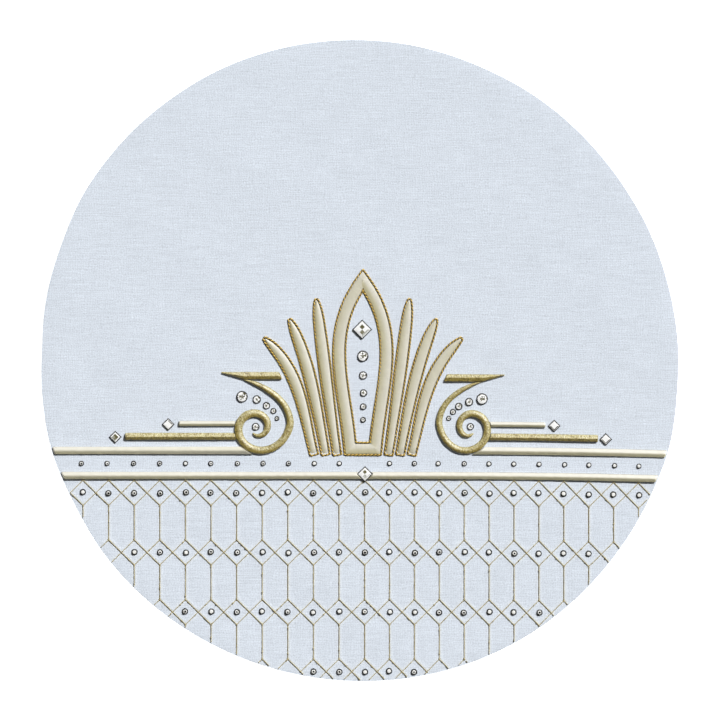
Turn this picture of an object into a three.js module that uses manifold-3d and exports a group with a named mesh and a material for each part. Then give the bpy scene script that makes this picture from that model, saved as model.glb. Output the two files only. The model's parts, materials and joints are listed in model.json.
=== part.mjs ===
import * as THREE from "three";
import { mergeVertices } from "three/addons/utils/BufferGeometryUtils.js";
import Module from "manifold-3d";

// A round matzah cover that lies flat, with satin, gold and stones sewn to its face.
// Millimetres. +X is to the right of the face, +Y towards its top, +Z out of it. The underside is z = 0.

const wasm = await Module();
wasm.setup();

// Cloth: a disc whose edge wanders a little, as cut and turned by hand, with small swells and dips
const clothThickness = 3;
const rimRadius = 224.3;
const rimRounding = 1;
const rimRoundingSteps = 2;
const rimSteps = 180;
const rimWaves = [
  { lobes: 1, swell: 0.9, turn: 154 },
  { lobes: 2, swell: 1.4, turn: 111 },
  { lobes: 3, swell: 0.6, turn: 42 },
  { lobes: 4, swell: 0.2, turn: -151 },
  { lobes: 5, swell: 0.3, turn: 33 },
];
const rimBumps = [
  { at: 24, swell: 0.4, spread: 7 },
  { at: 68, swell: -0.6, spread: 9 },
  { at: 126, swell: -0.4, spread: 7 },
  { at: 148, swell: 0.5, spread: 6 },
  { at: 159, swell: -0.45, spread: 5 },
  { at: 178, swell: -0.9, spread: 5 },
  { at: 195, swell: 0.8, spread: 6 },
  { at: 208, swell: -0.7, spread: 6 },
  { at: 300, swell: 0.4, spread: 14 },
  { at: 344, swell: 0.75, spread: 6 },
  { at: 355, swell: -0.5, spread: 6 },
];
const rimReach = rimRadius + 3;

// Quilting: rows of diamonds that touch side to side, each row joined to the next by upright lines
const latticeMiddle = 3.3;
const latticePitchLeft = 17.93;
const latticePitchRight = 17.44;
const latticeColumns = 12;
const latticeRows = 4;
const latticeTop = -92.7;
const latticeRowPitch = 41.75;
const diamondHalfHeight = 8.8;
const grooveHalfWidth = 1.5;
const grooveDepth = 0.9;
const grooveRimMargin = 1.2;
const cellLap = 0.03;
const overCut = 0.5;

// All that is sewn on lies a hair above the face, and the same hair from its neighbours
const seatGap = 0.3;
const faceZ = clothThickness + seatGap;

// The ornament is a mirrored pair about this upright line, and the right-hand side sinks towards its end
const ornamentMiddle = 2.1;
const droopAtEnd = 2.4;
const droopReach = 213;
const droopPower = 2.6;

// Padded satin bands, cut off along the rim
const bandHeight = 2.6;
const bandRimMargin = 1.1;
const bandSteps = 14;
const bands = [
  { name: "upper_band_left", from: -222, to: -74.8, y: -63.3, width: 5.8 },
  { name: "upper_band_right", from: 79, to: 222, y: -63.3, width: 5.8 },
  { name: "lower_band", from: -222, to: 222, y: -80.8, width: 5.4 },
];

// Straight bars whose inner ends stop at the scrolls
const barSteps = 3;
const barRounding = 1.2;
const barEndShare = 0.8;
const bars = [
  { name: "gold_bar_left", outer: -164.7, inner: -85, y: -53.5, width: 5.2, height: 2.8, metal: true },
  { name: "gold_bar_right", outer: 166.7, inner: 89.2, y: -53.7, width: 5.2, height: 2.8, metal: true },
  { name: "thin_bar_left", outer: -127, inner: -84.6, y: -44.5, width: 4.1, height: 2.1, metal: false },
  { name: "thin_bar_right", outer: 129.9, inner: 88.8, y: -44.8, width: 4.1, height: 2.1, metal: false },
];

// Scrolls: a thin tail that swells into a volute about its eye. Places are from the ornament's middle line.
const scrollHeight = 3;
const scrollEye = [-75.1, -46.5];
const scrollOuterRadius = 24.3;
const scrollShrink = [-2.25, 3.03, -1.585];
const scrollStartAngle = 5.5;
const scrollSweep = 480;
const scrollSteps = 40;
const tailStarts = { left: [-82.3, -14.7], right: [-79.6, -16.3] };
const tailBends = [
  [-66, -20.5],
  [-51.2, -31],
];
const tailSteps = 9;
const tailHalfWidth = 1;
const voluteHalfWidth = 2.4;
const curlHalfWidth = 2.85;
const curlTipHalfWidth = 0.9;
const curlTipPower = 8;

// The wedge-ended bar over each scroll's tail
const wedgeHeight = 2.6;
const wedgeTop = -8;
const wedgeBottom = -13.2;
const wedgeTip = -99.2;
const wedgeShoulder = -83.3;
const wedgeEnd = -58.7;
const wedgeSlant = 2.3;
const wedgeTipDepth = 1;
const wedgeDrops = { left: 0, right: 1.4 };

// Centre ornament: a pointed ring with three leaves on each side, edged with twisted cord
const satinHeight = 2.2;
const cordRadius = 0.7;
const cordHeight = 1.3;
const cordSeat = 0.35;
const ringHalfWidth = 3.3;
const ringFoot = [8.8, -61.9];
const ringBends = [
  [13, -15],
  [28, 18],
];
const ringTip = [0, 56.4];
const ringSteps = 16;
const leafSteps = 14;
const leafFootHalfWidth = 1.9;
const leafBellyAt = 0.62;
const leafTipHalfWidth = 0.25;
const leafStepCrowding = 1.6;
const leafTaper = { slow: 0.4, slowPower: 2, fast: 0.6, fastPower: 7 };
const leaves = [
  { name: "inner", foot: [18.1, -65.2], low: [23.6, -30], high: [28.4, 8], tip: [32.5, 42], halfWidth: 3.1 },
  { name: "middle", foot: [26.2, -65.2], low: [32, -34], high: [37, -2], tip: [51, 28], halfWidth: 3.1 },
  { name: "outer", foot: [34.3, -65.2], low: [41.4, -38], high: [43, -8], tip: [68.5, 15], halfWidth: 3 },
];

// Stones: half the corner-to-corner width for the square ones, the radius for the round ones
const stoneHeightRatio = 0.62;
const stoneGirdleRatio = 0.45;
const stoneTableRatio = 0.55;
const roundStoneSides = 8;
const squareStoneSides = 4;
const squareStones = [
  { name: "centre", x: 1.5, y: 21.6, size: 7 },
  { name: "band", x: 3.4, y: -79.6, size: 5.5, on: bandHeight + seatGap },
  { name: "left_inner", x: -134.3, y: -44.8, size: 4.5 },
  { name: "left_outer", x: -171.4, y: -53.7, size: 4.5 },
  { name: "right_inner", x: 136, y: -45.9, size: 4.5 },
  { name: "right_outer", x: 172.1, y: -55.3, size: 4.5 },
];
const roundStones = [
  { name: "centre_1", x: 2, y: 3, size: 4 },
  { name: "centre_2", x: 2.2, y: -10.5, size: 2.95 },
  { name: "centre_3", x: 2.5, y: -22.8, size: 2.65 },
  { name: "centre_4", x: 2.3, y: -32.4, size: 2.4 },
  { name: "centre_5", x: 2.2, y: -41.6, size: 2.05 },
  { name: "left_1", x: -82.6, y: -25.4, size: 4.1 },
  { name: "left_2", x: -72.3, y: -27.4, size: 3 },
  { name: "left_3", x: -65.5, y: -31.7, size: 2.65 },
  { name: "left_4", x: -60.6, y: -35.4, size: 2.2 },
  { name: "left_5", x: -58.2, y: -40.7, size: 1.8 },
  { name: "left_eye", x: -73.1, y: -46.5, size: 2.8 },
  { name: "right_1", x: 85.5, y: -27, size: 4.05 },
  { name: "right_2", x: 76.4, y: -29.1, size: 2.95 },
  { name: "right_3", x: 69.2, y: -32.2, size: 2.65 },
  { name: "right_4", x: 65.1, y: -36.1, size: 2.2 },
  { name: "right_5", x: 62.1, y: -40.6, size: 1.9 },
  { name: "right_eye", x: 77.3, y: -46.4, size: 2.6 },
];

const archSegments = 6;
const cordArchSegments = 4;
const radians = THREE.MathUtils.degToRad;
const lerp = THREE.MathUtils.lerp;

function finish(color, roughness, metalness) {
  return new THREE.MeshStandardMaterial({ color, roughness, metalness });
}

const linen = () => finish(0xd8e0ea, 0.9, 0);
const satin = () => finish(0xe1decd, 0.45, 0);
const goldFoil = () => finish(0xc8b973, 0.4, 0.7);
const goldCord = () => finish(0xb98f3c, 0.5, 0.6);
const crystal = () => finish(0xe6e9e8, 0.08, 0.2);

// How far a place on the right-hand side has sunk
function droop(x) {
  return x > 0 ? droopAtEnd * (x / droopReach) ** droopPower : 0;
}

// A closed geometry as a solid that can be joined and cut
function solidOf(geometry) {
  const bare = geometry.clone();
  bare.deleteAttribute("normal");
  bare.deleteAttribute("uv");
  const merged = mergeVertices(bare, 1e-4);
  return new wasm.Manifold(
    new wasm.Mesh({
      numProp: 3,
      vertProperties: new Float32Array(merged.attributes.position.array),
      triVerts: new Uint32Array(merged.index.array),
    }),
  );
}

function geometryOf(solid) {
  const mesh = solid.getMesh();
  const geometry = new THREE.BufferGeometry();
  geometry.setAttribute("position", new THREE.BufferAttribute(mesh.vertProperties, 3));
  geometry.setIndex(new THREE.BufferAttribute(mesh.triVerts, 1));
  geometry.computeVertexNormals();
  return geometry;
}

// What is left of a solid after a cut may have loose crumbs: the largest piece is kept
function largestOf(solid) {
  const pieces = solid.decompose();
  return pieces.reduce((best, piece) => (piece.volume() > best.volume() ? piece : best));
}

// The rim

function rimRadiusAt(angle) {
  const wavy = rimWaves.reduce(
    (radius, wave) => radius + wave.swell * Math.cos(wave.lobes * angle + radians(wave.turn)),
    rimRadius,
  );
  return rimBumps.reduce((radius, bump) => {
    const away = THREE.MathUtils.euclideanModulo(THREE.MathUtils.radToDeg(angle) - bump.at + 180, 360) - 180;
    return radius + bump.swell * Math.exp(-((away / bump.spread) ** 2));
  }, wavy);
}

function rimPoints(inset) {
  return Array.from({ length: rimSteps }, (_, i) => {
    const angle = (2 * Math.PI * i) / rimSteps;
    const radius = rimRadiusAt(angle) - inset;
    return new THREE.Vector2(radius * Math.cos(angle), radius * Math.sin(angle));
  });
}

const rimMiddle = new THREE.Box2().setFromPoints(rimPoints(0)).getCenter(new THREE.Vector2());

function rimShape(inset) {
  return new THREE.Shape(rimPoints(inset).map((point) => point.sub(rimMiddle)));
}

function rimPrism(inset, low, high) {
  const geometry = new THREE.ExtrudeGeometry(rimShape(inset), { depth: high - low, bevelEnabled: false });
  return solidOf(geometry.translate(0, 0, low));
}

// Quilting

function columnX(column) {
  return latticeMiddle + column * (column < 0 ? latticePitchLeft : latticePitchRight);
}

// A place on the lattice: half columns are where diamonds touch, and rise is from the row's middle
function latticePoint(column, row, rise) {
  const whole = Math.floor(column);
  const x = lerp(columnX(whole), columnX(whole + 1), column - whole);
  return new THREE.Vector2(x, latticeTop - row * latticeRowPitch + rise - droop(x));
}

function diamondCorners(column, row) {
  return [
    latticePoint(column - 0.5, row, 0),
    latticePoint(column, row, -diamondHalfHeight),
    latticePoint(column + 0.5, row, 0),
    latticePoint(column, row, diamondHalfHeight),
  ];
}

// The tall cell between two columns, from the row above down to the row below
function tallCellCorners(column, row) {
  return [
    latticePoint(column + 0.5, row, 0),
    latticePoint(column, row, -diamondHalfHeight),
    latticePoint(column, row + 1, diamondHalfHeight),
    latticePoint(column + 0.5, row + 1, 0),
    latticePoint(column + 1, row + 1, diamondHalfHeight),
    latticePoint(column + 1, row, -diamondHalfHeight),
  ];
}

// One quilted cell, with sides that slope down into the grooves round it
function cellSolid(corners) {
  const slopeHeight = grooveDepth + overCut;
  const slopeWidth = (grooveHalfWidth * slopeHeight) / grooveDepth;
  const geometry = new THREE.ExtrudeGeometry(new THREE.Shape(corners), {
    depth: overCut,
    bevelThickness: slopeHeight,
    bevelSize: slopeWidth + cellLap,
    bevelOffset: -slopeWidth,
    bevelSegments: 1,
  });
  return solidOf(geometry.translate(0, 0, clothThickness - grooveDepth - overCut));
}

function grooveNetwork() {
  const cells = [];
  for (let column = -latticeColumns; column <= latticeColumns; column++) {
    for (let row = -1; row <= latticeRows; row++) cells.push(cellSolid(tallCellCorners(column, row)));
    for (let row = 0; row < latticeRows; row++) cells.push(cellSolid(diamondCorners(column, row)));
  }
  const fieldTop = latticeTop + diamondHalfHeight;
  const fieldBottom = -rimReach;
  const slabRise = 0.8 * overCut;
  const slab = new THREE.BoxGeometry(2 * rimReach, fieldTop - fieldBottom, grooveDepth + slabRise);
  slab.translate(0, (fieldTop + fieldBottom) / 2, clothThickness + (slabRise - grooveDepth) / 2);
  const inRim = rimPrism(grooveRimMargin, 0, clothThickness + overCut);
  return solidOf(slab).intersect(inRim).subtract(wasm.Manifold.union(cells));
}

function clothGeometry() {
  const disc = new THREE.ExtrudeGeometry(rimShape(rimRounding), {
    depth: clothThickness - 2 * rimRounding,
    bevelThickness: rimRounding,
    bevelSize: rimRounding,
    bevelSegments: rimRoundingSteps,
  });
  disc.translate(0, 0, rimRounding);
  return geometryOf(solidOf(disc).subtract(grooveNetwork()));
}

// Raised strips

// Both edges of a strip whose middle line and half width are given, mitred where the line turns
function edgesOf(middle, halfWidthAt, closed = false) {
  const count = middle.length;
  const left = [];
  const right = [];
  middle.forEach((point, i) => {
    const before = middle[closed ? (i + count - 1) % count : Math.max(i - 1, 0)];
    const after = middle[closed ? (i + 1) % count : Math.min(i + 1, count - 1)];
    const arriving = point.clone().sub(before).normalize();
    const leaving = after.clone().sub(point).normalize();
    if (before === point) arriving.copy(leaving);
    if (after === point) leaving.copy(arriving);
    const across = new THREE.Vector2(-arriving.y - leaving.y, arriving.x + leaving.x).normalize();
    const mitre = 1 / (-across.x * arriving.y + across.y * arriving.x);
    across.multiplyScalar(halfWidthAt(i / (count - 1)) * mitre);
    left.push(point.clone().add(across));
    right.push(point.clone().sub(across));
  });
  return { left, right };
}

// A domed strip between two edges, flat underneath, its crown lower where it is narrow
function raisedStrip({ left, right }, height, options = {}) {
  const { closed = false, base = faceZ, segments = archSegments } = options;
  const widths = left.map((point, i) => point.distanceTo(right[i]));
  const fullWidth = Math.max(...widths);
  const positions = [];
  left.forEach((point, i) => {
    const crown = height * Math.sqrt(widths[i] / fullWidth);
    for (let j = 0; j <= segments; j++) {
      const turn = (Math.PI * j) / segments;
      const across = (1 - Math.cos(turn)) / 2;
      const z = base + (j % segments === 0 ? 0 : crown * Math.sin(turn));
      positions.push(lerp(point.x, right[i].x, across), lerp(point.y, right[i].y, across), z);
    }
  });
  const ring = segments + 1;
  const faces = [];
  const spans = closed ? left.length : left.length - 1;
  for (let i = 0; i < spans; i++) {
    const here = i * ring;
    const next = ((i + 1) % left.length) * ring;
    for (let j = 0; j < ring; j++) {
      const k = (j + 1) % ring;
      faces.push(here + j, here + k, next + k);
      faces.push(here + j, next + k, next + j);
    }
  }
  const last = (left.length - 1) * ring;
  for (let j = 1; j < segments && !closed; j++) {
    faces.push(0, j + 1, j);
    faces.push(last, last + j, last + j + 1);
  }
  const geometry = new THREE.BufferGeometry();
  geometry.setAttribute("position", new THREE.Float32BufferAttribute(positions, 3));
  geometry.setIndex(faces);
  return geometry;
}

function bendingCurve(...places) {
  return new THREE.CubicBezierCurve(...places.map((place) => new THREE.Vector2(...place)));
}

// A place given from the ornament's middle line, put on the left or the right of it
function placed(point, side) {
  const x = ornamentMiddle + (side === "left" ? -1 : 1) * Math.abs(point.x);
  return new THREE.Vector2(x, point.y - droop(x));
}

// Mirroring a left-hand strip swaps its edges
function placedEdges({ left, right }, side) {
  const moved = [left, right].map((edge) => edge.map((point) => placed(point, side)));
  return side === "left" ? { left: moved[0], right: moved[1] } : { left: moved[1], right: moved[0] };
}

// Scrolls

function scrollMiddle(side) {
  const volute = [];
  for (let i = 0; i <= scrollSteps; i++) {
    const share = i / scrollSteps;
    const angle = radians(scrollStartAngle - scrollSweep * share);
    const [a, b, c] = scrollShrink;
    const radius = scrollOuterRadius * (1 + a * share + b * share ** 2 + c * share ** 3);
    const x = scrollEye[0] + radius * Math.cos(angle);
    volute.push(new THREE.Vector2(x, scrollEye[1] + radius * Math.sin(angle)));
  }
  const tail = bendingCurve(tailStarts[side], ...tailBends, volute[0].toArray()).getPoints(tailSteps);
  return tail.slice(0, -1).concat(volute);
}

function scrollHalfWidth(share) {
  const tailShare = tailSteps / (tailSteps + scrollSteps);
  if (share < tailShare) return lerp(tailHalfWidth, voluteHalfWidth, share / tailShare);
  const along = (share - tailShare) / (1 - tailShare);
  const body = lerp(voluteHalfWidth, curlHalfWidth, Math.min(1, 2 * along));
  return lerp(body, curlTipHalfWidth, along ** curlTipPower);
}

function scrollEdges(side, extra = 0) {
  const edges = edgesOf(scrollMiddle(side), (share) => scrollHalfWidth(share) + extra);
  return placedEdges(edges, side);
}

// A wall a hair wider than the scroll, which the bars and bands are cut back to
function scrollWall(side) {
  return solidOf(raisedStrip(scrollEdges(side, seatGap), 4 * scrollHeight, { base: faceZ - overCut }));
}

function scrollGeometry(side) {
  return raisedStrip(scrollEdges(side), scrollHeight);
}

function wedgeGeometry(side) {
  const top = wedgeTop - wedgeDrops[side];
  const bottom = wedgeBottom - wedgeDrops[side];
  const left = [
    new THREE.Vector2(wedgeTip, top),
    new THREE.Vector2(wedgeShoulder, top),
    new THREE.Vector2(wedgeEnd, top),
  ];
  const right = [
    new THREE.Vector2(wedgeTip, top - wedgeTipDepth),
    new THREE.Vector2(wedgeShoulder, bottom),
    new THREE.Vector2(wedgeEnd + wedgeSlant, bottom),
  ];
  return raisedStrip(placedEdges({ left, right }, side), wedgeHeight);
}

// Bands and bars

function bandGeometry({ from, to, y, width }) {
  const middle = Array.from({ length: bandSteps + 1 }, (_, i) => {
    const x = lerp(from, to, i / bandSteps);
    return new THREE.Vector2(x, y - droop(x));
  });
  const strip = solidOf(raisedStrip(edgesOf(middle, () => width / 2), bandHeight));
  const inRim = strip.intersect(rimPrism(bandRimMargin, faceZ - overCut, faceZ + bandHeight + overCut));
  return geometryOf(largestOf(inRim.subtract(scrollWall("left")).subtract(scrollWall("right"))));
}

function barGeometry({ outer, inner, y, width, height }) {
  const left = Math.min(outer, inner);
  const right = Math.max(outer, inner);
  const stops = [left, left + barRounding];
  for (let i = 1; i < barSteps; i++) stops.push(lerp(left, right, i / barSteps));
  stops.push(right - barRounding, right);
  const middle = stops.map((x) => new THREE.Vector2(x, y - droop(x)));
  const halfWidth = (share) => (share === 0 || share === 1 ? barEndShare : 1) * (width / 2);
  const strip = solidOf(raisedStrip(edgesOf(middle, halfWidth), height));
  return geometryOf(largestOf(strip.subtract(scrollWall(outer < 0 ? "left" : "right"))));
}

// Centre ornament

// Cord along a closed line
function cordGeometry(line) {
  const edges = edgesOf(line, () => cordRadius, true);
  return raisedStrip(edges, cordHeight, { closed: true, segments: cordArchSegments });
}

// The ring's middle line, up the right side and down the left
function ringMiddle() {
  const up = bendingCurve(ringFoot, ...ringBends, ringTip).getPoints(ringSteps);
  const down = up.slice(0, -1).reverse();
  return up.map((point) => placed(point, "right")).concat(down.map((point) => placed(point, "left")));
}

function ringGeometry() {
  return raisedStrip(edgesOf(ringMiddle(), () => ringHalfWidth, true), satinHeight, { closed: true });
}

function ringCordGeometry(edge) {
  return cordGeometry(edgesOf(ringMiddle(), () => ringHalfWidth + cordSeat + cordRadius, true)[edge]);
}

// Steps along a leaf are closer together towards the tip, where it narrows fast
function leafMiddle({ foot, low, high, tip }) {
  const curve = bendingCurve(foot, low, high, tip);
  return Array.from({ length: leafSteps + 1 }, (_, i) => curve.getPoint(leafShareAt(i)));
}

function leafShareAt(step) {
  return 1 - (1 - step / leafSteps) ** leafStepCrowding;
}

function leafHalfWidth(leaf, stepShare) {
  const share = leafShareAt(stepShare * leafSteps);
  if (share < leafBellyAt) {
    return lerp(leafFootHalfWidth, leaf.halfWidth, THREE.MathUtils.smoothstep(share, 0, leafBellyAt));
  }
  const along = (share - leafBellyAt) / (1 - leafBellyAt);
  const { slow, slowPower, fast, fastPower } = leafTaper;
  const fullness = 1 - slow * along ** slowPower - fast * along ** fastPower;
  return lerp(leafTipHalfWidth, leaf.halfWidth, fullness);
}

function leafEdges(leaf) {
  return edgesOf(leafMiddle(leaf), (share) => leafHalfWidth(leaf, share));
}

function leafGeometry(leaf, side) {
  const edges = leafEdges(leaf);
  return raisedStrip(placedEdges({ left: edges.right, right: edges.left }, side), satinHeight);
}

// The cord follows the leaf's whole outline, a hair outside it
function leafCordGeometry(leaf, side) {
  const { left, right } = leafEdges(leaf);
  const outline = right.concat(left.reverse()).map((point) => placed(point, side));
  if (side === "left") outline.reverse();
  return cordGeometry(edgesOf(outline, () => cordSeat + cordRadius, true).right);
}

// Stones

// A cut stone: an upright girdle, a sloping crown and a flat table
function stoneGeometry({ x, y, size, on = 0 }, sides) {
  const height = size * stoneHeightRatio;
  const profile = [
    new THREE.Vector2(0, 0),
    new THREE.Vector2(size, 0),
    new THREE.Vector2(size, height * stoneGirdleRatio),
    new THREE.Vector2(size * stoneTableRatio, height),
    new THREE.Vector2(0, height),
  ];
  const geometry = new THREE.LatheGeometry(profile, sides);
  return geometry.rotateX(Math.PI / 2).translate(x, y, faceZ + on);
}

// The whole cover

const cover = new THREE.Group();

function sew(name, geometry, material) {
  const mesh = new THREE.Mesh(geometry, material);
  mesh.name = name;
  cover.add(mesh);
}

sew("cover_cloth", clothGeometry(), linen());
bands.forEach((band) => sew(band.name, bandGeometry(band), satin()));
bars.forEach((bar) => sew(bar.name, barGeometry(bar), bar.metal ? goldFoil() : satin()));
sew("centre_ring", ringGeometry(), satin());
sew("centre_ring_cord_outer", ringCordGeometry("right"), goldCord());
sew("centre_ring_cord_inner", ringCordGeometry("left"), goldCord());
for (const side of ["left", "right"]) {
  sew(`scroll_${side}`, scrollGeometry(side), goldFoil());
  sew(`wedge_${side}`, wedgeGeometry(side), goldFoil());
  for (const leaf of leaves) {
    sew(`leaf_${leaf.name}_${side}`, leafGeometry(leaf, side), satin());
    sew(`leaf_${leaf.name}_${side}_cord`, leafCordGeometry(leaf, side), goldCord());
  }
}
squareStones.forEach((stone) =>
  sew(`square_stone_${stone.name}`, stoneGeometry(stone, squareStoneSides), crystal()),
);
roundStones.forEach((stone) =>
  sew(`round_stone_${stone.name}`, stoneGeometry(stone, roundStoneSides), crystal()),
);

export default cover;
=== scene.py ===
import json
import math
import bmesh
import bpy
import numpy as np
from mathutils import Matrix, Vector, noise

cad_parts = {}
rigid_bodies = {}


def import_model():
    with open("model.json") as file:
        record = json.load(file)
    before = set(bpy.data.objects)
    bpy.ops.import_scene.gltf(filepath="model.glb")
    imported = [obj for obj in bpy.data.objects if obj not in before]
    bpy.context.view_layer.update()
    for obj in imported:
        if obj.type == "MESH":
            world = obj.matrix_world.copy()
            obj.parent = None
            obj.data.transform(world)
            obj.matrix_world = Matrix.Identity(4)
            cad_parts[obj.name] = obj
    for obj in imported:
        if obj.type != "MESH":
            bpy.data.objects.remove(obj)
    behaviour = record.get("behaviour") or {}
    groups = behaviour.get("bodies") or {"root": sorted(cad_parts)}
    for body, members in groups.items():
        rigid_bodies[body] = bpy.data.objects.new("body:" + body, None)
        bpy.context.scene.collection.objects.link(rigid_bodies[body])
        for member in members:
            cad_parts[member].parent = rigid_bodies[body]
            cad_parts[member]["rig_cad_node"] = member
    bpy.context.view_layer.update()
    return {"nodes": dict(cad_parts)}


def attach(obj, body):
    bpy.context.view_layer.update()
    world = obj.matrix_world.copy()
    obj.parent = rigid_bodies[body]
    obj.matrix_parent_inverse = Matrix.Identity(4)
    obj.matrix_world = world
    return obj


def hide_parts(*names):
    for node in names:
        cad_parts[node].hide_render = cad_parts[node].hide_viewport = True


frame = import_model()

# A round matzah cover that lies flat on its floor.
# Sizes are in millimetres and become metres where a mesh is made.
# +X is to the right of the face, +Y towards its top, +Z out of it, and the underside is z = 0.
mm = 0.001
scene = bpy.context.scene
print("frame:", len(frame["nodes"]), "solids")


def paint(red, green, blue):
    # a screen colour, 0 to 255, as the linear colour that shaders take
    parts = [v / 255 for v in (red, green, blue)]
    parts = [v / 12.92 if v <= 0.04045 else ((v + 0.055) / 1.055) ** 2.4 for v in parts]
    return (*parts, 1)


def lerp(a, b, share):
    return a + (b - a) * share


def smoothStep(value, low, high):
    share = np.clip((value - low) / (high - low), 0, 1)
    return share * share * (3 - 2 * share)


# Node helpers

socketKinds = {"Geometry": "NodeSocketGeometry", "Places": "NodeSocketVector"}  # the others are numbers


def addNode(tree, kind, inputs=None, **settings):
    node = tree.nodes.new(kind)
    for key, value in settings.items():
        setattr(node, key, value)
    for key, value in (inputs or {}).items():
        if isinstance(value, bpy.types.NodeSocket):
            tree.links.new(value, node.inputs[key])
        else:
            node.inputs[key].default_value = value
    return node


def mathNode(tree, operation, first, second=0.0):
    return addNode(tree, "ShaderNodeMath", {0: first, 1: second}, operation=operation).outputs[0]


def times(tree, first, second):
    return mathNode(tree, "MULTIPLY", first, second)


def plus(tree, first, second):
    return mathNode(tree, "ADD", first, second)


def minus(tree, first, second):
    return mathNode(tree, "SUBTRACT", first, second)


def swing(tree, value, depth):
    # a value from 0 to 1 as a swing about zero
    return times(tree, minus(tree, value, 0.5), depth)


def vectorMath(tree, operation, first, second):
    return addNode(tree, "ShaderNodeVectorMath", {0: first, 1: second}, operation=operation).outputs[0]


def scaled(tree, places, factors):
    return vectorMath(tree, "MULTIPLY", places, factors)


def mapped(tree, value, low, high, atLow, atHigh, kind="LINEAR"):
    inputs = {0: value, 1: low, 2: high, 3: atLow, 4: atHigh}
    return addNode(tree, "ShaderNodeMapRange", inputs, interpolation_type=kind).outputs[0]


def clouds(tree, places, detail, scale=1.0, roughness=0.5):
    inputs = {"Vector": places, "Scale": scale, "Detail": detail, "Roughness": roughness}
    return addNode(tree, "ShaderNodeTexNoise", inputs).outputs["Fac"]


def specks(tree, places, factors):
    # one random value for each cell of a grid
    cells = vectorMath(tree, "FLOOR", scaled(tree, places, factors), (0.0, 0.0, 0.0))
    speck = addNode(tree, "ShaderNodeTexWhiteNoise", {"Vector": cells}, noise_dimensions="3D")
    return speck.outputs["Value"]


def fieldOf(tree, name):
    return addNode(tree, "ShaderNodeAttribute", attribute_name=name).outputs["Fac"]


def mixColours(tree, share, first, second, blend="MIX"):
    inputs = {0: share, 6: first, 7: second}
    return addNode(tree, "ShaderNodeMix", inputs, data_type="RGBA", blend_type=blend).outputs[2]


def tinted(tree, colour, tone):
    return mixColours(tree, 1.0, colour, tone, "MULTIPLY")


def startGroup(name, kind, inputs, outputs):
    # inputs are labels with their first values, and outputs are labels
    tree = bpy.data.node_groups.new(name, kind)
    for label, value in inputs.items():
        number = "NodeSocketInt" if isinstance(value, int) else "NodeSocketFloat"
        socketKind = socketKinds.get(label, number)
        socket = tree.interface.new_socket(label, in_out="INPUT", socket_type=socketKind)
        if value is not None:
            socket.default_value = value
    for label in outputs:
        socketKind = socketKinds.get(label, "NodeSocketFloat")
        tree.interface.new_socket(label, in_out="OUTPUT", socket_type=socketKind)
    return tree, tree.nodes.new("NodeGroupInput").outputs, tree.nodes.new("NodeGroupOutput").inputs


def placeGroup(tree, group, inputs):
    return addNode(tree, "ShaderNodeGroup", inputs, node_tree=group).outputs


def startMaterial(name, **sockets):
    material = bpy.data.materials.new(name)
    material.use_nodes = True
    tree = material.node_tree
    shader = tree.nodes["Principled BSDF"]
    for label, value in sockets.items():
        shader.inputs[label.replace("_", " ")].default_value = value
    return material, tree, shader.inputs


def bumpInto(tree, shader, height, strength, distance):
    inputs = {"Height": height, "Strength": strength, "Distance": distance * mm}
    tree.links.new(addNode(tree, "ShaderNodeBump", inputs).outputs["Normal"], shader["Normal"])


def objectPlaces(tree, pitch):
    # object coordinates counted in steps of a pitch in millimetres
    coordinates = tree.nodes.new("ShaderNodeTexCoord").outputs["Object"]
    step = 1 / (pitch * mm)
    return scaled(tree, coordinates, (step, step, step))


def stripPlaces(tree):
    # millimetres along and across a sewn strip
    return addNode(tree, "ShaderNodeUVMap", uv_map="strip").outputs["UV"]


# Shader groups shared by the finishes

def weaveGroup():
    # plain weave: threads go over and under each other, some thicker, and each crossing has its own tone
    tree, given, made = startGroup(
        "threadWeave",
        "ShaderNodeTree",
        {"Places": None, "Crossings": 0.02, "Grain": 0.16, "Slubs": 0.16},
        ("Height", "Tone"),
    )
    drift = addNode(tree, "ShaderNodeTexNoise", {"Vector": given["Places"], "Scale": 0.12, "Detail": 2.0})
    places = vectorMath(tree, "ADD", given["Places"], scaled(tree, drift.outputs["Color"], (5.0, 5.0, 0.0)))
    parts = addNode(tree, "ShaderNodeSeparateXYZ", {0: places}).outputs

    def waves(axis, pace):
        return mathNode(tree, "SINE", times(tree, parts[axis], pace * math.pi))

    coarse = times(tree, times(tree, waves("X", 1.0), waves("Y", 1.0)), given["Crossings"])
    fine = times(tree, plus(tree, waves("X", 1.25), waves("Y", 1.25)), given["Crossings"])
    grain = swing(tree, specks(tree, places, (2.2, 2.2, 0.0)), given["Grain"])
    slubX = clouds(tree, scaled(tree, given["Places"], (0.05, 1.3, 1.0)), 3.0)
    slubY = clouds(tree, scaled(tree, given["Places"], (1.3, 0.07, 1.0)), 2.0)
    slubs = plus(tree, times(tree, slubX, 0.75), times(tree, slubY, 0.25))
    woven = plus(tree, plus(tree, coarse, fine), grain)
    tone = plus(tree, woven, swing(tree, slubs, given["Slubs"]))
    tree.links.new(times(tree, tone, 5.0), made["Height"])
    tree.links.new(plus(tree, tone, 1.0), made["Tone"])
    return tree


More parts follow.
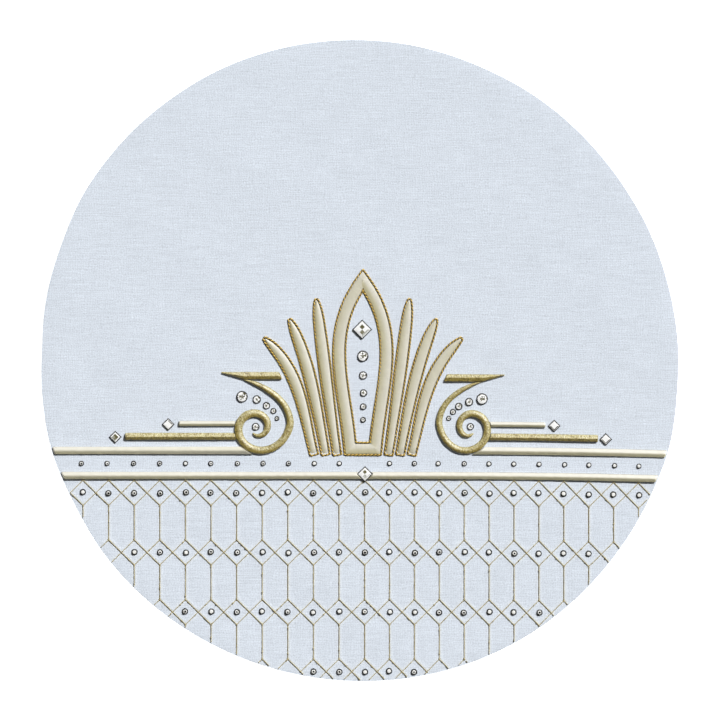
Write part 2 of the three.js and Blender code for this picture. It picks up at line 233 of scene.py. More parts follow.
def fibreGroup():
    # fine parallel threads that lie along Y of the places given, side by side along X
    tree, given, made = startGroup(
        "layOfThreads", "ShaderNodeTree", {"Places": None, "Unevenness": 0.5}, ("Height", "Tone")
    )
    wander = clouds(tree, scaled(tree, given["Places"], (0.55, 0.12, 1.0)), 3.0)
    parts = addNode(tree, "ShaderNodeSeparateXYZ", {0: given["Places"]}).outputs
    shifted = plus(tree, parts["X"], times(tree, wander, 1.4))
    ridges = mathNode(tree, "SINE", times(tree, shifted, 2 * math.pi))
    uneven = swing(tree, wander, given["Unevenness"])
    height = plus(tree, times(tree, ridges, 0.5), times(tree, uneven, 3.0))
    tree.links.new(height, made["Height"])
    tone = plus(tree, times(tree, ridges, 0.15), times(tree, uneven, 1.6))
    tree.links.new(plus(tree, tone, 0.5), made["Tone"])
    return tree


def crinkleGroup():
    # creases and dents of a thin skin pressed over padding
    tree, given, made = startGroup(
        "crinkle", "ShaderNodeTree", {"Places": None, "Sharpness": 0.5}, ("Height", "Creases")
    )
    bent = addNode(tree, "ShaderNodeTexNoise", {"Vector": given["Places"], "Scale": 0.8, "Detail": 3.0})
    pushed = vectorMath(tree, "ADD", given["Places"], scaled(tree, bent.outputs["Color"], (1.5, 1.5, 1.5)))
    cells = addNode(
        tree, "ShaderNodeTexVoronoi", {"Vector": pushed, "Scale": 1.0}, feature="DISTANCE_TO_EDGE"
    ).outputs["Distance"]
    folds = mathNode(tree, "MINIMUM", times(tree, cells, 3.0), 1.0)
    fine = clouds(tree, given["Places"], 4.0, scale=2.6)
    tree.links.new(plus(tree, times(tree, folds, given["Sharpness"]), fine), made["Height"])
    tree.links.new(minus(tree, 1.0, folds), made["Creases"])
    return tree


def blotchGroup():
    # broad faint unevenness of tone
    tree, given, made = startGroup(
        "softBlotches", "ShaderNodeTree", {"Places": None, "Depth": 0.05}, ("Tone",)
    )
    uneven = swing(tree, clouds(tree, given["Places"], 4.0), given["Depth"])
    tree.links.new(plus(tree, uneven, 1.0), made["Tone"])
    return tree


threadWeave = weaveGroup()
layOfThreads = fibreGroup()
crinkle = crinkleGroup()
softBlotches = blotchGroup()


def blotchTone(tree, pitch, depth):
    return placeGroup(tree, softBlotches, {"Places": objectPlaces(tree, pitch), "Depth": depth})["Tone"]


# Finishes. Pitches are in millimetres

linenLook = {
    "colour": paint(217, 224.5, 234),
    # painted highlight: the cloth is painted paler beside the quilting's seams
    "seamHighlightColour": paint(224, 230, 237),
    "seamReach": 2.6,  # the quilting's seams are paler as far as this
    "threadPitch": 1.05,
    "crossings": 0.032,
    "grain": 0.17,
    "slubs": 0.42,
    "blotchPitch": 22,
    "blotchDepth": 0.07,
}


def linenMaterial():
    look = linenLook
    material, tree, shader = startMaterial("linen", Roughness=0.9)
    weave = {"Crossings": look["crossings"], "Grain": look["grain"], "Slubs": look["slubs"]}
    threads = placeGroup(tree, threadWeave, {"Places": objectPlaces(tree, look["threadPitch"]), **weave})
    # painted highlight beside the seams
    near = mapped(tree, fieldOf(tree, "seamDistance"), 0.8, look["seamReach"], 0.5, 0.0, "SMOOTHSTEP")
    plain = mixColours(tree, near, look["colour"], look["seamHighlightColour"])
    uneven = tinted(tree, plain, blotchTone(tree, look["blotchPitch"], look["blotchDepth"]))
    tree.links.new(tinted(tree, uneven, threads["Tone"]), shader["Base Color"])
    bumpInto(tree, shader, threads["Height"], 0.5, 0.05)
    return material


def litSidePart(tree, low, high):
    # painted light and shade: 0 to 1 from the lower, shaded side to the upper, lit side of a sewn strip
    return mapped(tree, fieldOf(tree, "litSideShare"), low, high, 0.0, 1.0, "SMOOTHSTEP")


wallShade = 0.6


def wallShadeTone(tree):
    # painted shade: the walls of a strip are painted darker than its crown, as shade at its foot
    return minus(tree, 1.0, times(tree, fieldOf(tree, "wallShare"), wallShade))


satinLook = {
    # painted light and shade: a satin strip is painted paler and more neutral on its lit side, warmer on its
    # shaded side
    "litSideColour": paint(219, 215, 198),
    "shadedSideColour": paint(208, 201, 163),
    "threadDepth": 0.16,
    "threadPitch": 0.5,
    "creasePitch": 7.0,
    "blotchPitch": 5,
    "blotchDepth": 0.16,
}


def satinMaterial(name, lengthwise, coat):
    look = satinLook
    material, tree, shader = startMaterial(
        name, Roughness=0.55, Specular_IOR_Level=0.6, Coat_Weight=coat, Coat_IOR=2.4, Coat_Roughness=0.52
    )
    step = 1 / look["threadPitch"]
    places = scaled(tree, stripPlaces(tree), (step, step, 1.0))
    if lengthwise:
        places = addNode(tree, "ShaderNodeMapping", {0: places, 2: (0.0, 0.0, math.pi / 2)}).outputs[0]
    threads = placeGroup(tree, layOfThreads, {"Places": places, "Unevenness": 0.7})
    folds = placeGroup(tree, crinkle, {"Places": objectPlaces(tree, look["creasePitch"]), "Sharpness": 0.5})
    share = addNode(tree, "ShaderNodeClamp", {0: threads["Tone"]}).outputs[0]
    threadTone = plus(tree, times(tree, share, look["threadDepth"]), 1 - look["threadDepth"])
    # painted light and shade across the strip
    body = mixColours(tree, litSidePart(tree, -0.5, 0.3), look["shadedSideColour"], look["litSideColour"])
    uneven = tinted(tree, body, blotchTone(tree, look["blotchPitch"], look["blotchDepth"]))
    threaded = tinted(tree, uneven, threadTone)
    tree.links.new(tinted(tree, threaded, wallShadeTone(tree)), shader["Base Color"])
    bumpInto(tree, shader, plus(tree, times(tree, threads["Height"], 0.2), folds["Height"]), 0.5, 0.25)
    return material


foilLook = {
    "colour": paint(196, 172, 60),
    # painted light: the lit side of a foil strip is painted this paler colour
    "litSideColour": paint(206, 192, 112),
    # random dark mottle, and painted shade in the foil's creases
    "deepAndCreaseShadeColour": paint(112, 90, 12),
    # painted highlight: the colour of the foil's pale patches
    "highlightColour": paint(232, 226, 182),
    "dentPitch": 1.3,
    "patchPitch": 1.4,
    "threadPitch": 0.75,
    "glintCells": (1.5, 1.1, 1.0),  # flat bits of the foil to a millimetre, along and across
    "glint": 0.3,
    "highlightSpan": (0.44, 0.66),  # of the mottle, from where the painted highlight begins to where it is palest
    "deepSpan": (0.47, 0.28),
    "mottleShare": 0.95,
    "roughness": (0.6, 0.42),
}


def foilMaterial():
    look = foilLook
    material, tree, shader = startMaterial(
        "goldFoil", Specular_IOR_Level=0.6, Coat_Weight=0.6, Coat_IOR=2.4, Coat_Roughness=0.52
    )
    dents = placeGroup(tree, crinkle, {"Places": objectPlaces(tree, look["dentPitch"]), "Sharpness": 0.7})
    step = 1 / look["threadPitch"]
    threadPlaces = scaled(tree, stripPlaces(tree), (step, step, 1.0))
    streaks = placeGroup(tree, layOfThreads, {"Places": threadPlaces, "Unevenness": 1.0})
    patches = clouds(tree, objectPlaces(tree, look["patchPitch"]), 4.0, roughness=0.65)
    glint = swing(tree, specks(tree, stripPlaces(tree), look["glintCells"]), look["glint"])
    mottle = plus(tree, patches, glint)
    # painted light: how far a point lies on the lit side of the strip
    upper = litSidePart(tree, -0.35, 0.25)
    highlightPatches = mapped(tree, mottle, *look["highlightSpan"], 0.0, look["mottleShare"])
    deep = mapped(tree, mottle, *look["deepSpan"], 0.0, look["mottleShare"])
    # painted highlight: pale patches, mostly on the lit side of the strip
    paintedHighlight = times(tree, highlightPatches, plus(tree, times(tree, upper, 0.85), 0.15))
    body = mixColours(tree, upper, look["colour"], look["litSideColour"])
    body = mixColours(tree, paintedHighlight, body, look["highlightColour"])
    body = mixColours(tree, deep, body, look["deepAndCreaseShadeColour"])
    # painted shade: the creases are painted in the deep colour
    creased = mixColours(tree, times(tree, dents["Creases"], 0.5), body, look["deepAndCreaseShadeColour"])
    tree.links.new(tinted(tree, creased, wallShadeTone(tree)), shader["Base Color"])
    tree.links.new(mapped(tree, patches, 0.3, 0.7, *look["roughness"]), shader["Roughness"])
    bumpInto(tree, shader, plus(tree, dents["Height"], times(tree, streaks["Height"], 0.3)), 0.8, 0.3)
    return material


def threadMaterial(name, colour, shadeColour, pitch, **sockets):
    material, tree, shader = startMaterial(name, **sockets)
    fibres = placeGroup(tree, layOfThreads, {"Places": objectPlaces(tree, pitch), "Unevenness": 0.8})
    share = addNode(tree, "ShaderNodeClamp", {0: fibres["Tone"]}).outputs[0]
    tree.links.new(mixColours(tree, share, shadeColour, colour), shader["Base Color"])
    bumpInto(tree, shader, fibres["Height"], 0.4, 0.05)
    return material


# painted reflection: the facet tones stand in for light inside the stones
stoneTones = [  # facets from the darkest to the palest: place on the scale, and colour
    (0.08, paint(30, 28, 20)),
    (0.3, paint(112, 106, 72)),
    (0.5, paint(190, 191, 182)),
    (0.72, paint(252, 252, 250)),
]


def stoneMaterial():
    material, tree, shader = startMaterial("cutStone", Roughness=0.1, Specular_IOR_Level=0.6)
    flaw = swing(tree, clouds(tree, objectPlaces(tree, 0.9), 3.0), 0.3)
    ramp = addNode(tree, "ShaderNodeValToRGB", {0: plus(tree, fieldOf(tree, "paintedFacetTone"), flaw)})
    stops = ramp.color_ramp.elements
    stops[0].position, stops[0].color = stoneTones[0]
    stops[1].position, stops[1].color = stoneTones[-1]
    for position, colour in stoneTones[1:-1]:
        stops.new(position).color = colour
    tree.links.new(ramp.outputs[0], shader["Base Color"])
    return material


def bezelMaterial():
    material, tree, shader = startMaterial("darkBezel", Specular_IOR_Level=0.4)
    wear = clouds(tree, objectPlaces(tree, 0.8), 4.0)
    tree.links.new(mixColours(tree, wear, paint(16, 15, 13), paint(62, 60, 55)), shader["Base Color"])
    tree.links.new(mapped(tree, wear, 0.0, 1.0, 0.35, 0.6), shader["Roughness"])
    bumpInto(tree, shader, wear, 0.3, 0.05)
    return material


def beadMaterial(name, colour, depth, **sockets):
    material, tree, shader = startMaterial(name, **sockets)
    tree.links.new(tinted(tree, colour, blotchTone(tree, 1.2, depth)), shader["Base Color"])
    return material


linen = linenMaterial()
paddedSatin = satinMaterial("paddedSatin", True, 0.7)
stitchedSatin = satinMaterial("stitchedSatin", False, 0.25)
goldFoil = foilMaterial()
goldThread = threadMaterial(
    "goldThread", paint(232, 198, 100), paint(192, 156, 64), 0.4, Roughness=0.45, Coat_Weight=0.2
)
brownThread = threadMaterial("brownThread", paint(92, 66, 16), paint(48, 34, 6), 0.4, Roughness=0.6)
quiltingThread = threadMaterial(
    "quiltingThread", paint(216, 205, 166), paint(140, 124, 82), 0.5, Roughness=0.7
)
cutStone = stoneMaterial()
darkBezel = bezelMaterial()
whiteBead = beadMaterial("whiteBead", paint(246, 246, 242), 0.3, Roughness=0.2, Specular_IOR_Level=0.6)
# painted reflection: a dark spot on a bead's top stands in for light inside it
darkReflectionSpot = beadMaterial("darkReflectionSpot", paint(20, 18, 13), 0.8, Roughness=0.4)
print("finishes:", len(bpy.data.materials))


# The rim

rim = {
    "radius": 224.3,
    "waves": [  # lobes, swell, turn
        (1, 0.9, 154), (2, 1.4, 111), (3, 0.6, 42), (4, 0.2, -151), (5, 0.3, 33),
    ],
    "bumps": [  # where, swell, spread; angles in degrees
        (24, 0.4, 7), (68, -0.6, 9), (126, -0.4, 7), (148, 0.5, 6), (159, -0.45, 5), (178, -0.9, 5),
        (195, 0.8, 6), (208, -0.7, 6), (300, 0.4, 14), (344, 0.75, 6), (355, -0.5, 6),
    ],
    "steps": 180,
}


def rimRadius(angle):
    waves = sum(swell * np.cos(lobes * angle + math.radians(turn)) for lobes, swell, turn in rim["waves"])
    bumps = 0.0
    for at, swell, spread in rim["bumps"]:
        away = (np.degrees(angle) - at + 180) % 360 - 180
        bumps += swell * np.exp(-((away / spread) ** 2))
    return rim["radius"] + waves + bumps


def rimCentre():
    angles = 2 * math.pi * np.arange(rim["steps"]) / rim["steps"]
    points = rimRadius(angles)[:, None] * np.stack([np.cos(angles), np.sin(angles)], 1)
    return (points.min(0) + points.max(0)) / 2


rimMiddle = rimCentre()


def roomToRim(x, y):
    # how far a place lies inside the rim, towards its middle
    px, py = x + rimMiddle[0], y + rimMiddle[1]
    return rimRadius(np.arctan2(py, px)) - np.hypot(px, py)


def rimPoint(angle, inset):
    reach = rimRadius(angle) - inset
    return reach * np.cos(angle) - rimMiddle[0], reach * np.sin(angle) - rimMiddle[1]


def rimX(y, side, inset):
    # where a level line meets the rim
    near, far = 0.0, 240.0 * side
    for _ in range(40):
        middle = (near + far) / 2
        if roomToRim(middle, y) > inset:
            near = middle
        else:
            far = middle
    return near


# The ornament and the quilting sink a little towards the right-hand end

sinking = {"depth": 2.4, "reach": 213, "power": 2.6}


def droop(x):
    return sinking["depth"] * (np.maximum(x, 0) / sinking["reach"]) ** sinking["power"]


# The quilting pattern

quilting = {
    "middle": 3.3,
    "pitchLeft": 17.93,
    "pitchRight": 17.44,
    "columns": 12,
    "rows": 4,
    "top": -92.7,
    "rowPitch": 41.75,
    "halfHeight": 8.8,
}


def columnX(column):
    return quilting["middle"] + column * (quilting["pitchLeft"] if column < 0 else quilting["pitchRight"])


def quiltPoint(column, row, rise):
    whole = math.floor(column)
    x = lerp(columnX(whole), columnX(whole + 1), column - whole)
    return np.array([x, quilting["top"] - row * quilting["rowPitch"] + rise - droop(x)])


def diamondCorners(column, row):
    rise = quilting["halfHeight"]
    return [
        quiltPoint(column - 0.5, row, 0),
        quiltPoint(column, row, -rise),
        quiltPoint(column + 0.5, row, 0),
        quiltPoint(column, row, rise),
    ]


def tallCorners(column, row):
    rise = quilting["halfHeight"]
    return [
        quiltPoint(column + 0.5, row, 0),
        quiltPoint(column, row, -rise),
        quiltPoint(column, row + 1, rise),
        quiltPoint(column + 0.5, row + 1, 0),
        quiltPoint(column + 1, row + 1, rise),
        quiltPoint(column + 1, row, -rise),
    ]


def topCorners(column):
    rise = quilting["halfHeight"]
    return [quiltPoint(column, 0, rise), quiltPoint(column + 0.5, 0, 0), quiltPoint(column + 1, 0, rise)]


# The cloth

cloth = {
    "thickness": 3.0,
    "hemRound": 0.22,
    "seamStep": 1.55,
    "plainStep": 4.5,
    "insets": [0.35, 0.75, 1.3, 2.1, 3.4],
    "shrinks": [0.62, 0.26],
    "topCellRoom": 2.0,  # the half cells at the quilting's upper edge have no room for the inner rings
    "mergeCell": 0.01,  # points in one cell of this size become one
    "mergeShift": 0.00123,  # keeps round values off the borders of those cells
    "hemTurns": (60, 35, 10, -15, -40, -65, -90),
    "undersideInsets": (9, 40, 95, 160),
    "weltHeight": 0.16,
    "weltAt": 0.6,
    "weltWidth": 1.1,
    "notchDepth": 0.3,
    "notchWidth": 0.5,
    "puff": 0.14,
    "wander": 0.1,
}
farFromSeams = 20.0


def clothWander(x, y):
    # hand-made unevenness, a fraction of a millimetre
    waves = np.sin(x / 29 + 1.3) * np.sin(y / 33 + 0.4) + 0.6 * np.sin((x + 1.4 * y) / 19 + 2)
    return cloth["wander"] * (waves + 0.5 * np.sin((x - 0.7 * y) / 11.5))


def clothFace(x, y, seam):
    # height of the face at a place, given its distance from the nearest seam
    fade = smoothStep(roomToRim(x, y), 1.0, 3.0)
    welt = cloth["weltHeight"] * np.exp(-(((seam - cloth["weltAt"]) / cloth["weltWidth"]) ** 2))
    notch = cloth["notchDepth"] * np.exp(-((seam / cloth["notchWidth"]) ** 2))
    puff = cloth["puff"] * smoothStep(seam, 1, 6)
    return cloth["thickness"] + clothWander(x, y) + fade * (welt - notch) + puff * fade


def quiltedCell(corners, seamSides, points, seams, faces, room=math.inf):
    # rings of points that follow the cell's sides inwards, and a fan in its middle
    insets = [inset for inset in cloth["insets"] if inset < room]
    corners = np.array(corners)
    ahead = np.roll(corners, -1, 0) - corners
    lengths = np.linalg.norm(ahead, axis=1)
    ahead = ahead / lengths[:, None]
    inward = np.stack([-ahead[:, 1], ahead[:, 0]], 1)
    behind = np.roll(inward, 1, 0)
    mitre = (inward + behind) / (1 + (inward * behind).sum(1))[:, None]
    steps = [
        max(2, round(length / (cloth["seamStep"] if side in seamSides else cloth["plainStep"])))
        for side, length in enumerate(lengths)
    ]
    rings = []
    for inset in [0] + insets:
        moved = corners + inset * mitre
        after = np.roll(moved, -1, 0)
        sides = [lerp(moved[k], after[k], np.arange(n)[:, None] / n) for k, n in enumerate(steps)]
        rings.append(np.concatenate(sides))
    middle = corners.mean(0)
    rings += [lerp(middle, rings[len(insets)], shrink) for shrink in cloth["shrinks"]]
    start = len(points)
    size = len(rings[0])
    for ring in rings + [middle[None]]:
        away = [np.abs((ring - corners[k]) @ inward[k]) for k in seamSides]
        points.extend(ring)
        seams.extend(np.min(away, 0))
    for r in range(len(rings) - 1):
        for k in range(size):
            here, there = start + r * size, start + (r + 1) * size
            after = (k + 1) % size
            faces.append((here + k, here + after, there + after, there + k))
    last, tip = start + (len(rings) - 1) * size, start + len(rings) * size
    faces.extend((last + k, last + (k + 1) % size, tip) for k in range(size))


def mergeAlike(points, seams, faces):
    keys = np.floor((np.array(points) + cloth["mergeShift"]) / cloth["mergeCell"]).astype(int)
    _, first, index = np.unique(keys, axis=0, return_index=True, return_inverse=True)
    index = index.reshape(-1)
    nearest = np.full(len(first), math.inf)
    np.minimum.at(nearest, index, np.array(seams))
    return np.array(points)[first], nearest, [tuple(index[v] for v in face) for face in faces]


def cutAtRim(points, seams, faces, inset):
    # faces over the edge are cut where they cross it
    room = roomToRim(points[:, 0], points[:, 1]) - inset
    made, madeSeams, cuts, kept = [], [], {}, []

    def crossing(a, b):
        key = (min(a, b), max(a, b))
        if key not in cuts:
            inner, outer = (a, b) if room[a] > 0 else (b, a)
            low, high = 0.0, 1.0
            for _ in range(26):
                share = (low + high) / 2
                x, y = lerp(points[inner], points[outer], share)
                low, high = (share, high) if roomToRim(x, y) > inset else (low, share)
            cuts[key] = len(points) + len(made)
            made.append(lerp(points[inner], points[outer], low))
            madeSeams.append(lerp(seams[inner], seams[outer], low))
        return cuts[key]

    for face in faces:
        inside = [room[v] > 0 for v in face]
        if all(inside):
            kept.append(face)
        elif any(inside):
            ring = []
            for k, v in enumerate(face):
                after = (k + 1) % len(face)
                if inside[k]:
                    ring.append(v)
                if inside[k] != inside[after]:
                    ring.append(crossing(v, face[after]))
            kept.append(tuple(ring))
    edge = list(range(len(points), len(points) + len(made)))
    return np.concatenate([points, made]), np.concatenate([seams, madeSeams]), kept, edge


def plainField(points, seams, faces):
    # the plain cloth above the quilting, on the columns that the quilting's upper edge gives
    outer = quilting["columns"] + 1
    steps = max(2, round(quilting["pitchLeft"] / cloth["plainStep"]))
    edge = [quiltPoint(column, 0, quilting["halfHeight"]) for column in range(-outer, outer + 1)]
    line = [lerp(low, high, k / steps) for low, high in zip(edge, edge[1:]) for k in range(steps)]
    line = np.array(line + [edge[-1]])
    top = rim["radius"] + 4
    rows = round((top - line[0, 1]) / cloth["plainStep"])
    start = len(points)
    for row in range(rows + 1):
        height = lerp(line[:, 1], top, row / rows)
        points.extend(np.stack([line[:, 0], height], 1))
        seams.extend(np.full(len(line), farFromSeams))
    width = len(line)
    for row in range(rows):
        for k in range(width - 1):
            a = start + row * width + k
            faces.append((a, a + 1, a + 1 + width, a + width))


def addObject(name, data):
    piece = bpy.data.objects.new(name, data)
    scene.collection.objects.link(piece)
    return piece


def linkMesh(
    name, points, faces, materials, faceUvs=None, fields=None, domain="POINT", smooth=True, slots=None
):
    # points in millimetres; fields are one number for each point, or for each face
    mesh = bpy.data.meshes.new(name)
    spots = [tuple(float(v) * mm for v in point) for point in points]
    mesh.from_pydata(spots, [], [tuple(map(int, face)) for face in faces])
    for material in materials:
        mesh.materials.append(material)
    if faceUvs is not None:
        layer = mesh.uv_layers.new(name="strip")
        layer.data.foreach_set("uv", np.array([uv for face in faceUvs for uv in face], np.float32).ravel())
    for label, values in (fields or {}).items():
        field = mesh.attributes.new(label, "FLOAT", domain)
        field.data.foreach_set("value", np.array(values, np.float32))
    if slots is not None:
        mesh.polygons.foreach_set("material_index", slots)
    mesh.polygons.foreach_set("use_smooth", [smooth] * len(mesh.polygons))
    shaped = bmesh.new()
    shaped.from_mesh(mesh)
    bmesh.ops.recalc_face_normals(shaped, faces=shaped.faces)
    shaped.to_mesh(mesh)
    shaped.free()
    if smooth:
        mesh.set_sharp_from_angle(angle=math.radians(50))
    return addObject(name, mesh)


def quiltedField(points, seams, faces):
    outer = quilting["columns"] + 1
    for column in range(-outer, outer + 1):
        for row in range(quilting["rows"]):
            quiltedCell(diamondCorners(column, row), range(4), points, seams, faces)
            if column < outer:
                quiltedCell(tallCorners(column, row), range(6), points, seams, faces)
        if column < outer:
            quiltedCell(topCorners(column), (0, 1), points, seams, faces, cloth["topCellRoom"])


def usedOnly(points, seams, faces, edge):
    used = np.unique([v for face in faces for v in face])
    renumber = np.full(len(points), -1)
    renumber[used] = np.arange(len(used))
    return points[used], seams[used], [tuple(renumber[v] for v in face) for face in faces], renumber[edge]


def closeUnder(points, faces, edge):
    # the hem is folded round, and the underside is flat: rings of points from the edge to the middle
    angles = np.arctan2(points[edge, 1] + rimMiddle[1], points[edge, 0] + rimMiddle[0])
    order = np.argsort(angles)
    edge, angles = edge[order], angles[order]
    count, tops = len(edge), points[edge, 2]
    turns = [math.radians(turn) for turn in cloth["hemTurns"]]
    spots = [(cloth["hemRound"] * (1 - math.cos(turn)), tops / 2 * (1 + math.sin(turn))) for turn in turns]
    spots += [(inset, np.zeros(count)) for inset in cloth["undersideInsets"]]
    made = [np.stack([*rimPoint(angles, inset), heights], 1) for inset, heights in spots]
    rings = [edge] + [len(points) + k * count + np.arange(count) for k in range(len(made))]
    for outerRing, innerRing in zip(rings, rings[1:]):
        for k in range(count):
            after = (k + 1) % count
            faces.append((outerRing[k], innerRing[k], innerRing[after], outerRing[after]))
    middle = len(points) + count * len(made)
    faces.extend((rings[-1][k], middle, rings[-1][(k + 1) % count]) for k in range(count))
    return np.concatenate([points, *made, [[-rimMiddle[0], -rimMiddle[1], 0.0]]])


def clothPiece():
    points, seams, faces = [], [], []
    quiltedField(points, seams, faces)
    plainField(points, seams, faces)
    points, seams, faces = mergeAlike(points, seams, faces)
    points, seams, faces, edge = cutAtRim(points, seams, faces, cloth["hemRound"])
    points, seams, faces, edge = usedOnly(points, seams, faces, edge)
    face = clothFace(points[:, 0], points[:, 1], seams)
    allPoints = closeUnder(np.concatenate([points, face[:, None]], 1), faces, edge)
    seams = np.concatenate([seams, np.full(len(allPoints) - len(points), farFromSeams)])
    return linkMesh("linen_cover", allPoints, faces, [linen], fields={"seamDistance": seams})


linenCover = clothPiece()
print("cloth:", len(linenCover.data.polygons), "faces")


# Raised strips

stripShape = {
    "seat": 2.95,
    "wall": 1.6,
    "lean": 0.12,  # how far a wall leans in
    "litLean": 0.4,  # how much further the wall on the upper side does
    "leanLimit": 0.45,  # share of the half width
    "endWidth": 0.78,  # share of the width that is left at a rounded end
    "narrowPower": 0.4,  # narrow parts are lower
    "across": 16,
    "crest": 0.0,  # how far the crest lies towards the left edge, as a share of the half width
    "wobble": 0.05,
    "wobblePitch": 5,
    "crownWobble": 0.05,
    "crownPitch": 6,
    "dents": 0.0,
    "dentPitch": 2.0,
    "creased": False,
    "hollow": None,  # place and reach of a diamond that presses the strip down, and the level left there
}
wallSteps = ((0, 0), (0.3, 0.5), (0.6, 0.9))  # shares of the lean and of the wall's height
upperWay = (0.5, 0.85)  # the way to the upper side of a strip, which the light comes from
ridge = (1.5, 1.2)  # crown profiles: 1 - side ** first, to the power of the second
sharpRidge = (1.12, 1.0)
pillow = (2.2, 1.0)
tube = (1.9, 0.8)
foilStrip = {"wall": 1.75, "crest": -0.1, "dents": 0.13, "dentPitch": 1.9, "creased": True}
bandStrip = {"wall": 1.6, "crest": -0.05, "dents": 0.05, "dentPitch": 3.2}
satinStrip = {"wall": 0.7, "lean": 0.2, "dents": 0.05, "dentPitch": 2.6}


def quarterRound(gone, reach):
    return math.sqrt(max(0.0, 1 - (1 - min(1.0, gone / reach)) ** 2))


def stripSection(across, profile, leftLean, rightLean):
    # the points round a strip: where each lies from side to side, up its wall and up its crown
    sides = np.cos(np.linspace(0, math.pi, across + 1))
    crowns = (1 - np.abs(sides) ** profile[0]).clip(0, 1) ** profile[1]
    section = [(1 - inward * leftLean, up, 0) for inward, up in wallSteps]
    for side, crown in zip(sides, crowns):
        section.append((lerp(rightLean - 1, 1 - leftLean, (side + 1) / 2), 1, crown))
    return section + [(inward * rightLean - 1, up, 0) for inward, up in wallSteps[::-1]]


def stripDent(shape, spot, up, crown):
    # dents and creases, deepest on the crown
    dent = noise.noise(spot)
    if shape["creased"]:
        dent = 0.7 - 2.2 * abs(dent)
    dent += 0.6 * noise.noise(spot * 2.4)
    return shape["dents"] * dent * up * min(1.0, 0.3 + crown * 2)


def pressedDown(hollow, x, y, z):
    hollowX, hollowY, reach, floor = hollow
    away = abs(x - hollowX) + abs(y - hollowY) - reach
    return lerp(floor, z, min(1.0, max(0.0, (away + 0.5) / 0.6)))


def stripSkin(count, ring, closed, along, whole, flatness):
    # faces of a strip, with millimetres along and across it as their map
    faces, uvs = [], []
    for i in range(count if closed else count - 1):
        after = (i + 1) % count
        here, there = along[i], whole if closed and after == 0 else along[after]
        for j in range(ring):
            k = (j + 1) % ring
            faces.append((i * ring + j, i * ring + k, after * ring + k, after * ring + j))
            low, high = flatness[i * ring + j], flatness[i * ring + k]
            uvs.append([(here, low), (here, high), (there, high), (there, low)])
    if not closed:
        for i in (0, count - 1):
            faces.append(tuple(range(i * ring, (i + 1) * ring)))
            uvs.append([(along[i], flatness[v]) for v in faces[-1]])
    return faces, uvs


def stripPiece(name, place, shares, height, material, profile, seed, closed=False, ends=(0, 0), **more):
    # place(share, side) is a point of the strip, where side runs from 1 at its left edge to -1 at its right
    shape = {**stripShape, **more}
    middles = np.array([place(share, 0) for share in shares])
    widths = np.array([np.linalg.norm(place(s, 1) - place(s, -1)) for s in shares])
    along = np.concatenate([[0], np.cumsum(np.linalg.norm(np.diff(middles, axis=0), axis=1))])
    whole = along[-1] + (np.linalg.norm(middles[0] - middles[-1]) if closed else 0)
    points, litSideShares, wallShares, flatness = [], [], [], []
    for i, share in enumerate(shares):
        leftward = place(share, 1) - place(share, -1)
        upward = float(leftward @ upperWay) / max(widths[i], 0.001)
        rounding, walling = 1.0, 1.0
        for reach, gone in ((ends[0], along[i]), (ends[1], along[-1] - along[i])):
            if reach:
                rounding = min(rounding, quarterRound(gone, reach))
                walling = min(walling, max(0.3, quarterRound(gone, 0.5)))
        narrow = lerp(shape["endWidth"], 1, rounding)
        shake = noise.noise(Vector((along[i] / shape["crownPitch"], seed, 0.3)))
        slender = (widths[i] / widths.max()) ** shape["narrowPower"]
        rise = height * rounding * slender * (1 + shape["crownWobble"] * shake)
        leans = [shape["lean"] + shape["litLean"] * max(0.0, way * upward) for way in (1, -1)]
        leans = [min(shape["leanLimit"], 2 * lean / widths[i]) for lean in leans]
        section = stripSection(shape["across"], profile, *leans)
        for side, up, crown in section:
            x, y = place(share, (side + shape["crest"] * crown) * narrow)
            spot = Vector((x / shape["wobblePitch"], y / shape["wobblePitch"], seed))
            x += shape["wobble"] * noise.noise(spot)
            y += shape["wobble"] * noise.noise(spot + Vector((9, 4, 2)))
            z = shape["seat"] + shape["wall"] * up * walling * slender + rise * crown
            if up:
                z += stripDent(shape, Vector((x, y, seed)) / shape["dentPitch"], up, crown)
            if shape["hollow"]:
                z = pressedDown(shape["hollow"], x, y, z)
            points.append((x, y, z))
            # how far each point lies towards the light, for the painted light and shade of the finishes
            litSideShares.append(side * upward)
            wallShares.append(1 - smoothStep(up, 0.8, 1))
            flatness.append(-side * widths[i] / 2)
    faces, uvs = stripSkin(len(shares), len(section), closed, along, whole, flatness)
    fields = {"litSideShare": litSideShares, "wallShare": wallShares}
    return linkMesh(name, points, faces, [material], uvs, fields)


def sew(piece, slot, *nodes):
    # every sewn piece rides with the cloth and stands for its solid
    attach(piece, "root")
    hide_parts(*nodes)


def crowdedShares(length, step, crowd, closeStep=0.25):
    # even steps, with close ones near both ends
    close = np.arange(0, crowd, closeStep)
    even = np.linspace(crowd, length - crowd, max(2, round((length - 2 * crowd) / step)))
    return np.concatenate([close, even, length - close[::-1]]) / length


def offsetEdges(middle, halfWidths, closed=False):
    # both edges of a line of points, mitred where it turns
    middle = np.array(middle)
    if closed:
        before, after = np.roll(middle, 1, 0), np.roll(middle, -1, 0)
    else:
        before = np.concatenate([middle[:1] * 2 - middle[1:2], middle[:-1]])
        after = np.concatenate([middle[1:], middle[-1:] * 2 - middle[-2:-1]])
    arriving, leaving = middle - before, after - middle
    arriving /= np.linalg.norm(arriving, axis=1)[:, None]
    leaving /= np.linalg.norm(leaving, axis=1)[:, None]
    across = np.stack([-arriving[:, 1] - leaving[:, 1], arriving[:, 0] + leaving[:, 0]], 1)
    across /= np.linalg.norm(across, axis=1)[:, None]
    mitre = 1 / (-across[:, 0] * arriving[:, 1] + across[:, 1] * arriving[:, 0])
    reach = across * (np.asarray(halfWidths) * mitre)[:, None]
    return middle + reach, middle - reach


